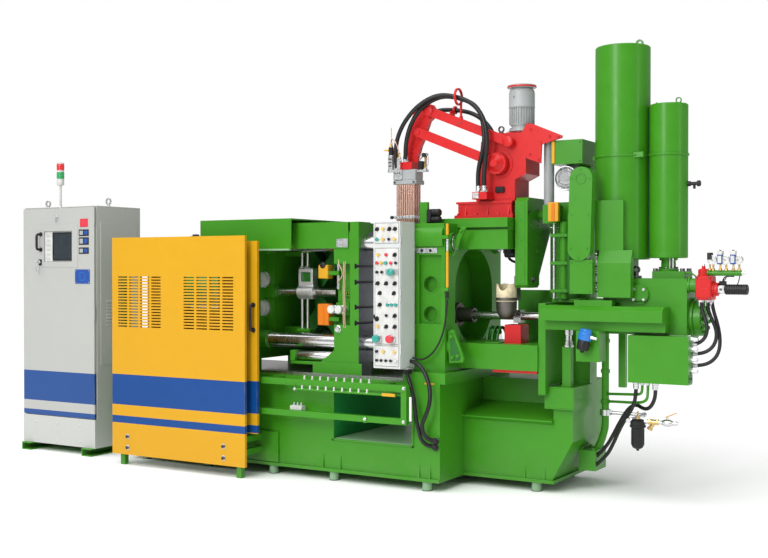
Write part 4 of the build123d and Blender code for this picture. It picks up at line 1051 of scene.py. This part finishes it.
k.make("gauge_bar", "machine", ["pressure_gauges"])

k = Kit()                                   # air regulator and water filter with its pipes
tf = Matrix.Translation((1850, -345, 1010)) @ Matrix.Rotation(math.radians(12), 4, "Y")
k.lathe("Z", (0, 0), [(-4, 34), (0, 42), (40, 42), (44, 38), (62, 37), (66, 33)], BLUE, 12, tf)
k.lathe("Z", (0, 0), [(-66, 12), (-64, 34), (-58, 39), (-8, 39), (-2, 36)], BLACK, 28, tf)
k.lathe("Z", (0, 0), [(-82, 8), (-80, 12), (-66, 12), (-64, 10)], BLACK, 16, tf)
for i in range(10):
    a = 2 * math.pi * i / 10
    k.box(37, 40.5, -3, 3, -54, -12, BLACK, 1.2, tf @ Matrix.Rotation(a, 4, "Z"))
k.lathe("X", (0, 22), [(40, 14), (56, 14), (58, 10), (74, 9)], ZINC, 12, tf)
k.box(1822, 1880, -345, -299, 985, 1030, GREEN, 3)
X, Y = 2108, -100
k.lathe("Z", (X, Y), [(314, 5), (318, 9), (326, 10), (328, 20), (336, 32), (350, 38), (456, 39), (462, 41)], BLACK, 40)
for i in range(12):
    k.box(37, 41, -3.2, 3.2, 352, 452, BLACK, 1.2, turned(X, Y, 2 * math.pi * i / 12))
k.lathe("Z", (X, Y), [(458, 42), (462, 48), (476, 48), (478, 45), (500, 45), (506, 40), (512, 26)], BLACK, 40)
for i in range(24):
    k.box(46, 49.4, -2.4, 2.4, 463, 475, BLACK, 0.8, turned(X, Y, 2 * math.pi * i / 24))
k.lathe("Z", (X, Y), [(508, 12), (522, 12), (524, 6), (558, 5), (562, 3)], BRASS, 14)
k.cyl("X", 2044, 2066, (Y, 500), 11, ZINC, 1, 24)
k.cyl("X", 2060, 2076, (Y, 500), 17, ZINC, 2, 6)
k.cyl("X", 2150, 2170, (Y, 500), 17, ZINC, 2, 6)
k.cyl("X", 2164, 2360, (Y, 500), 11, ZINC, 1, 24)
k.cyl("X", 2180, 2236, (Y, 500), 16, BRASS, 2, 24)
tf = Matrix.Translation((2214, Y, 500)) @ Matrix.Rotation(math.radians(35), 4, "Y")
k.lathe("Z", (0, 0), [(0, 13), (-44, 13), (-46, 17), (-58, 17), (-60, 12)], BRASS, 8, tf)
k.cyl("X", 2178, 2192, (Y, 500), 20, BRASS, 2, 6)
k.cyl("X", 2226, 2240, (Y, 500), 20, BRASS, 2, 6)
k.lathe("X", (Y, 500), [(2262, 14), (2272, 18), (2284, 22), (2306, 22), (2318, 18), (2328, 14)], ZINC, 28)
k.cyl("Z", 518, 540, (2295, Y), 7, ZINC, 1, 16)
tf = Matrix.Translation((2295, Y, 538)) @ Matrix.Rotation(math.radians(-24), 4, "Y")
k.box(-14, 62, -7, 7, -2, 4, AMBER, 1.5, tf)
k.cyl("X", 2336, 2350, (Y, 500), 16, ZINC, 2, 6)
k.cyl("Y", -108, 208, (2052, 500), 11, ZINC, 1, 24)
k.cyl("X", 1814, 2060, (200, 500), 11, ZINC, 1, 24)
k.cyl("Y", -116, -84, (2052, 500), 16, ZINC, 2, 20)
k.cyl("Y", 184, 216, (2052, 500), 16, ZINC, 2, 20)
k.ring("Z", 480, 520, (1792, 200), 36, 24.4, ZINC, 36)
k.cyl("X", 1824, 1844, (200, 500), 16, ZINC, 2, 6)
k.make("service_unit_set", "machine", ["service_units"])

k = Kit()                                   # manifold fittings, rigid pipes, valve row by the covers
for y, z, cap in ((-176, 994, 0), (-166, 935, 0), (-168, 865, 0), (-196, 1022, 1), (-200, 965, 1), (-200, 900, 1), (-200, 832, 1)):
    k.lathe("X", (y, z), [(2462, 17), (2474, 17), (2476, 13.8), (2494, 13.4), (2497, 12)], ZINC, 6)
    if cap:
        k.lathe("X", (y, z), [(2490, 11), (2504, 11), (2508, 8), (2508, 0)], ZINC, 20)
for x in (2250, 2130):
    hose_nut(k, x, -200, 753, ZINC, -1)
# painted shade: darker green copy on this plate
k.box(2463, 2467, -244, -170, 764, 812, GREEN_PAINTED_SHADE, 1)
for y in (-226, -190):
    k.cyl("X", 2466, 2470, (y, 788), 8, BLACK, 1, 16)
k.pipe([(2170, -205, 756), (2170, -205, 705), (2160, -199, 682), (2130, -170, 672), (2030, -60, 657), (1900, 90, 637), (1812, 186, 624)], 9, GREEN)
k.pipe([(2205, -205, 756), (2205, -205, 682), (2195, -198, 644), (2150, -160, 622), (2040, -40, 604), (1920, 90, 588), (1812, 190, 574)], 9, GREEN)
for x in (2170, 2205):
    k.cyl("Z", 752, 736, (x, -205), 14, ZINC, 2, 6)
for i, z in enumerate(range(1296, 1552, 26)):
    k.box(1878, 1891, -236, -204, z, z + 18, (ZINC, BLACK, ZINC, WHITE)[i % 4], 2)
    k.cyl("Y", -236, -244, (1887, z + 9), 5, (BLACK, ZINC)[i % 2], 1, 14)
k.box(1880, 1891, -206, -190, 1288, 1556, BLACK, 1.5)
for z in (560, 760, 960):
    k.ring("Z", z, z + 24, (1792, 200), 30, 24.2, GREEN, 32)
for x, y in ((1676, 76), (1758, 76), (1676, 244), (1758, 244)):
    k.hexhead("Z", 262, (x, y), 18, 11, GREEN, True, 1)
k.make("manifold_fittings", "machine")

# ---- fixed platen ----------------------------------------------------------------------------
k = Kit()
k.prism("X", [(-428, 1586), (-446, 1592), (-456, 1622), (-458, 1652), (-454, 1684), (-444, 1706), (-428, 1716)], 712, 922, GREEN, 3)
k.box(717, 876, -438, -429, 1546, 1583, ZINC, 2)
for x in (764, 828):
    k.cyl("Y", -437, -439.5, (x, 1564), 11, BLACK, 0.6, 24)
    k.ring("Y", -441, -438, (x, 1564), 15, 11, ZINC, 28)
k.cyl("Z", 1324, 1556, (955, -445), 9.5, AMBER, 1, 20)
k.cyl("Z", 1558, 1638, (955, -445), 9, ZINC, 1, 20)
k.cyl("Z", 1664, 1737, (955, -445), 10, AMBER, 2, 20)
k.cyl("Z", 1252, 1298, (955, -445), 11, BLACK, 2, 20)
k.prism("Y", [(914, 1526), (944, 1526), (1042, 1717), (1006, 1717)], -352, -330, GREEN, 2)
k.hexhead("Y", -352, (1010, 1692), 20, 12, GREEN, True, -1)
k.hexhead("Y", -352, (934, 1542), 20, 12, GREEN, True, -1)
k.prism("Y", [(934, 1040), (976, 1052), (1052, 868), (1046, 838), (944, 830)], -402, -372, GREEN, 3)
# painted shade: darker green copy on the inset plate
k.prism("Y", [(952, 1020), (972, 1030), (1034, 874), (1024, 852), (958, 848)], -406, -401, GREEN_PAINTED_SHADE, 1.5)
for x, z in ((968, 1004), (1012, 880), (974, 868)):
    k.hexhead("Y", -406, (x, z), 20, 12, GREEN, True, -1)
k.box(676, 736, -312, -282, 1741, 1890, GREEN, 3)
k.box(690, 740, -330, -270, 1741, 1752, GREEN, 2)
for z in (1772, 1818):
    k.lathe("X", (-298, z), [(736, 20), (742, 25), (790, 25), (792, 22), (798, 22), (800, 25), (822, 25), (828, 20), (828, 0)], BLACK, 28)
k.box(738, 770, -330, -280, 1752, 1838, BLACK, 3)
for z in (1344, 1147):
    k.ring("Y", -403, -399, (810, z), 62, 52, GREEN, 48)
for y in (-340, 340):
    for z in (937, 1617):
        k.lathe("X", (y, z), [(954, 60), (960, 60), (962, 53)], STEEL_DARK, 8)
        for i in range(6):
            a = math.pi * i / 3
            k.capscrew("X", 955, (y + 59 * math.cos(a), z + 59 * math.sin(a)), 4.5, 4, STEEL_DARK, 1)
k.ring("X", 815, 826, (0, 1130), 80, 52, IRON, 48)
for i in range(6):
    a = math.pi * (i + 0.5) / 3
    k.capscrew("X", 815, (70 * math.cos(a), 1130 + 70 * math.sin(a)), 6, 9, STEEL_DARK, 1)
k.make("fixed_platen_fittings", "machine")

k = Kit()                                   # curved guide ribs left of the drip box, beam screws
for i, x in enumerate((1112, 1148, 1184)):
    pts = []
    for j in range(9):
        a = math.radians(10 + 17 * j)
        pts.append((-100 - 84 * math.cos(a), 958 + 110 * math.sin(a)))
    for j in range(8, -1, -1):
        a = math.radians(10 + 17 * j)
        pts.append((-100 - 66 * math.cos(a), 956 + 92 * math.sin(a)))
    # painted shade: the ribs take the darker green copy
    k.prism("X", pts, x - 6, x + 6, GREEN_PAINTED_SHADE, 1.5)
k.box(1096, 1204, -190, -20, 954, 962, GREEN, 2)
k.lathe("Z", (1653, -112), [(945, 36), (956, 36), (959, 30), (984, 28), (988, 23), (1018, 23), (1022, 30), (1054, 30), (1058, 24), (1071, 20)], CHROME, 28)
k.box(1618, 1686, -144, -82, 688, 702, GREEN, 3)
k.lathe("X", (-40, 1545), [(1180, 22), (1184, 26), (1250, 26), (1254, 20), (1268, 20)], BLACK, 24)
k.box(1176, 1240, -70, 20, 1548, 1575, BLACK, 3)
k.pipe([(1250, -40, 1545), (1272, -36, 1536), (1274, 40, 1500), (1268, 120, 1494), (1262, 180, 1530), (1258, 200, 1576)], 9, BLACK)
k.pipe([(1190, -10, 1550), (1180, 0, 1516), (1206, 60, 1486), (1240, 130, 1490), (1250, 190, 1540), (1250, 205, 1576)], 9, BLACK)
k.make("shot_frame_fittings", "machine")

# ---- clamp end -------------------------------------------------------------------------------
k = Kit()                                   # crosshead on the two guide rods, brackets, white cylinders
for y in (-230, 230):
    s = -1 if y < 0 else 1
    k.ring("X", -352, -216, (y, 1277), 52, 30.4, BRIGHT, 40)
    k.box(-346, -222, y - 34, y + 34, 1322, 1352, BRIGHT, 4)
    k.box(-346, -222, y - 34, y + 34, 1420, 1448, BRIGHT, 4)
    for x0, x1 in ((-346, -326), (-242, -222)):
        k.box(x0, x1, y - 34, y + 34, 1350, 1424, BRIGHT, 3)
    # painted shade: darker green copy on the filler between the bright frame bars
    k.box(-328, -240, y - 6, y + 8, 1350, 1424, GREEN_PAINTED_SHADE, 2)
    for x in (-334, -286):
        k.cyl("Z", 1446, 1560, (x, y), 12, CHROME, 1, 24)
        k.cyl("Z", 1010, 1228, (x, y), 12, CHROME, 1, 24)
        k.cyl("Z", 1448, 1462, (x, y), 19, BRIGHT, 2, 6)
        k.cyl("Z", 1560, 1578, (x, y), 20, GREEN, 2, 20)
    k.box(-360, -250, y - 30, y + 30, 1560, 1584, GREEN, 3)
    k.box(-360, -250, y - 30, y + 30, 992, 1014, GREEN, 3)
    k.box(-640, -560, y - 44, y + 30 if y < 0 else y + 44, 1236, 1326, GREEN, 4)
    k.ring("X", -560, -540, (y, 1277), 46, 30.4, GREEN, 36)
for z in (1158, 1365):
    k.lathe("Y", (-660, z), [(-262, 58), (-300, 60), (-316, 60), (-320, 52), (-322, 30), (-322, 0)], WHITE, 36)
    k.lathe("Y", (-660, z), [(-262, 66), (-274, 66), (-276, 60)], BRIGHT, 36)
k.make("toggle_guides", "machine")

k = Kit()                                   # moving platen: boxes, cylinders, grease tubes, plate
k.box(-100, -6, -382, -312, 1050, 1200, ORANGE, 5)
k.box(-66, -44, -386, -381, 1056, 1194, ORANGE, 2)
k.box(-96, -14, -380, -312, 1376, 1472, AMBER, 5)
k.lathe("Y", (-56, 1470), [(-372, 22), (-386, 22), (-390, 16), (-390, 0)], BLACK, 24)
k.box(-16, 72, -372, -318, 1080, 1110, GREEN, 3)
k.box(-16, 72, -372, -318, 1400, 1430, GREEN, 3)
for x in (38, 98):
    k.lathe("Y", (x, 1164), [(-300, 24), (-400, 24), (-404, 29), (-424, 29), (-428, 24), (-428, 0)], WHITE, 32)
    k.lathe("Y", (x, 1164), [(-372, 31), (-384, 31), (-386, 26)], ZINC, 6)
k.box(20, 130, -330, -298, 1120, 1210, GREEN, 3)
for x, r in ((150, 4), (162, 4)):
    k.pipe([(x, -424, 1500), (x, -436, 1470), (x + 6, -438, 1400), (x, -438, 1300), (x + 4, -438, 1180), (x, -438, 1080), (x + 2, -428, 1040)], r, TAN)
k.pipe([(110, -420, 1520), (104, -436, 1490), (140, -438, 1440), (146, -438, 1390), (110, -438, 1360), (96, -420, 1340)], 4, TAN)
for i in range(5):
    k.box(84 + i * 20, 98 + i * 20, -322, -300, 1262, 1290, BLACK, 2)
    k.lathe("Y", (91 + i * 20, 1276), [(-320, 5), (-334, 5), (-336, 3)], BRASS, 12)
k.box(24, 44, -322, -300, 1300, 1570, ZINC, 2)
k.box(80, 188, -322, -300, 1250, 1302, GREEN, 3)
k.box(96, 188, -440.5, -437.5, 1592, 1650, ZINC, 0.8)
for x in (102, 182):
    for z in (1598, 1644):
        k.cyl("Y", -440.5, -442, (x, z), 2.6, STEEL_DARK, 0.4, 10)
k.lathe("Y", (104, 1030), [(-428, 26), (-436, 26), (-440, 20), (-448, 18), (-450, 0)], ZINC, 28)
k.lathe("X", (-394, 836), [(-262, 30), (-258, 33), (52, 33), (56, 30)], CHROME, 40)
k.box(-300, -260, -432, -356, 796, 872, GREEN, 4)
k.box(-300, -96, -425, -330, 776, 798, GREEN, 3)
for y in (-150, 0, 150):
    for z in (1010, 1270, 1540):
        k.ring("X", 269, 271.5, (y, z), 24, 17, STEEL_DARK, 28)
k.make("moving_platen_fittings", "clamp_platen")

k = Kit()                                   # clamp cover: edge strip, screws; rear platen bolts
k.box(-234, -219, -533, -529, 1574, 1794, GREEN, 1.5)
k.box(-1030, -220, -533, -529, 1572, 1584, GREEN_PALE, 1.5)
for y in (-340, 340):
    for z in (937, 1617):
        for i in range(8):
            a = math.pi * i / 4
            k.capscrew("X", -930, (y + 82 * math.cos(a), z + 82 * math.sin(a)), 7, 6, STEEL_DARK, -1)
for i in range(10):
    a = 2 * math.pi * i / 10
    k.hexhead("X", -1690, (146 * math.cos(a), 1277 + 146 * math.sin(a)), 20, 12, GREEN, True, -1)
k.lathe("X", (0, 1277), [(-1690, 60), (-1706, 60), (-1710, 52), (-1722, 48), (-1724, 0)], GREEN, 36)
k.lathe("Z", (-1520, 0), [(1688, 46), (1702, 46), (1704, 30), (1716, 28), (1718, 0)], STEEL_DARK, 6)
for x in (-820, -670):
    for z in (740,):
        k.hexhead("Y", -430, (x, z), 26, 16, GREEN, True, -1)
k.make("clamp_end_fittings", "machine")

# ---- beds, rail, feet ---------------------------------------------------------------------------
k = Kit()
for x in (-1560, -1040, 30, 170, 780, 860):
    k.prism("X", [(-499, 83), (-515, 83), (-499, 188)], x - 5, x + 5, GREEN, 0.8)
for x in (1372, 1508):
    k.prism("X", [(-149, 83), (-161, 83), (-149, 188)], x - 5, x + 5, GREEN, 0.8)
for x, y in [(x, y) for x in (-1600, -1000, -410, 100, 823) for y in (-472, 472)] + [(1440, -118), (1440, 472)]:
    for i in range(8):
        k.ring("Z", 6 + i * 6.6, 9.4 + i * 6.6, (x, y), 32.6, 30, GREEN_PALE, 28)
    k.lathe("Z", (x, y), [(0.3, 33), (4, 34), (5, 33)], STEEL_DARK, 28)
k.box(118, 724, -496, 420, 287, 293, GREEN_PALE, 1.5)
for x0, x1 in ((102, 118), (724, 740)):
    k.box(x0, x1, -508, -499, 276, 622, GREEN, 2)
k.box(102, 740, -508, -499, 606, 622, GREEN, 2)
k.box(102, 740, -508, -499, 276, 290, GREEN, 2)
k.box(818, 888, -503, -499, 694, 706, AMBER, 1.2)
k.lathe("Y", (905, 296), [(-512, 24), (-520, 24), (-522, 18), (-534, 17)], BLACK, 24)
k.lathe("Y", (908, 334), [(-512, 24), (-520, 24), (-522, 18), (-534, 17)], BLACK, 24)
k.box(1524, 1716, -183, -178, 556, 682, GREEN, 2)
k.make("bed_fittings", "machine")

k = Kit()                                   # water nipples, tags and a connector on the door rail
for i in range(9):
    x = -45 + i * 64.4
    k.lathe("Z", (x, -620), [(694, 9), (700, 9), (702, 6), (708, 6), (709, 7.4), (712, 5.6), (714, 7.2), (718, 5.2), (720, 4)], WHITE, 14)
    k.lathe("Z", (x, -648), [(632, 8), (638, 8), (640, 6), (645, 6), (646, 7.4), (649, 5.6), (651, 7.2), (655, 5.2), (657, 4)], WHITE, 14)
k.cyl("X", -92, 690, (-648, 628), 8, GREEN, 1.5, 20)
k.lathe("X", (-648, 628), [(-92, 8), (-94, 12), (-108, 12), (-110, 8), (-118, 6)], ZINC, 16)
k.box(-108, -100, -652, -644, 628, 662, GREEN, 2)
for x in (40, 320, 640):
    k.box(x - 8, x + 8, -650, -639.5, 618, 642, GREEN, 2)
k.box(588, 686, -658, -655.5, 620, 640, AMBER, 1)
k.box(-182, -84, -600.5, -552, 472, 508, WHITE, 3)
for x in (-162, -132, -102):
    k.lathe("Z", (x, -576), [(506, 8), (516, 8), (518, 5), (528, 5)], ZINC, 12)
k.box(436, 466, -646, -594, 436, 480.3, GREEN, 3)
k.hexhead("Y", -646, (451, 460), 16, 9, ZINC, True, -1)
for x in (-1420, 740):
    for z in (460, 675):
        k.hexhead("Y", -640, (x, z), 16, 9, ZINC, True, -1)
k.box(-1434, 754, -643, -640, 652, 660, GREEN, 1)
k.make("rail_fittings", "machine")

# ---- floor, light, background -----------------------------------------------------------
floor_me = bpy.data.meshes.new("floor")
floor_me.from_pydata([(-40, -40, 0), (40, -40, 0), (40, 40, 0), (-40, 40, 0)], [], [(0, 1, 2, 3)])
floor = bpy.data.objects.new("floor", floor_me)
scene.collection.objects.link(floor)
fm, fnt, fb = new_mat("floor_pale")
ftc = fnt.nodes.new("ShaderNodeTexCoord").outputs["Object"]
fnt.links.new(mix(fnt, noise(fnt, ftc, 0.5, 3.0), (0.93, 0.93, 0.93), (0.95, 0.95, 0.95)), fb.inputs["Base Color"])
fb.inputs["Roughness"].default_value = 1.0
fb.inputs["Specular IOR Level"].default_value = 0.0
floor_me.materials.append(fm)

world = bpy.data.worlds.new("studio")
scene.world = world
world.use_nodes = True
wn = world.node_tree
wn.nodes.clear()
wo = wn.nodes.new("ShaderNodeOutputWorld")
lit = wn.nodes.new("ShaderNodeBackground")
lit.inputs["Color"].default_value = (1.0, 1.0, 1.0, 1.0)
lit.inputs["Strength"].default_value = 0.40
seen = wn.nodes.new("ShaderNodeBackground")
seen.inputs["Color"].default_value = (1.0, 1.0, 1.0, 1.0)
seen.inputs["Strength"].default_value = 1.0
ray = wn.nodes.new("ShaderNodeLightPath")
both = wn.nodes.new("ShaderNodeMixShader")
wn.links.new(ray.outputs["Is Camera Ray"], both.inputs[0])
wn.links.new(lit.outputs[0], both.inputs[1])
wn.links.new(seen.outputs[0], both.inputs[2])
wn.links.new(both.outputs[0], wo.inputs[0])


def area(name, loc, target, size, power):
    d = bpy.data.lights.new(name, "AREA")
    d.shape = "RECTANGLE"
    d.size, d.size_y = size
    d.energy = power
    o = bpy.data.objects.new(name, d)
    o.location = loc
    o.rotation_euler = (Vector(target) - Vector(loc)).to_track_quat("-Z", "Y").to_euler()
    scene.collection.objects.link(o)


def soft_sun(name, towards, strength, spread):
    d = bpy.data.lights.new(name, "SUN")
    d.energy = strength
    d.angle = math.radians(spread)
    o = bpy.data.objects.new(name, d)
    o.location = (0.0, 0.0, 8.0)
    o.rotation_euler = Vector(towards).to_track_quat("-Z", "Y").to_euler()
    scene.collection.objects.link(o)


soft_sun("overhead", (0.13, 0.46, -0.88), 2.6, 70.0)
area("key", (0.3, -7.4, 4.3), (0.6, 0.0, 1.5), (2.0, 3.0), 250)
area("strip", (10.0, -0.6, 2.4), (1.8, 0.0, 1.6), (0.8, 4.0), 60)
scene.view_settings.view_transform = "Standard"
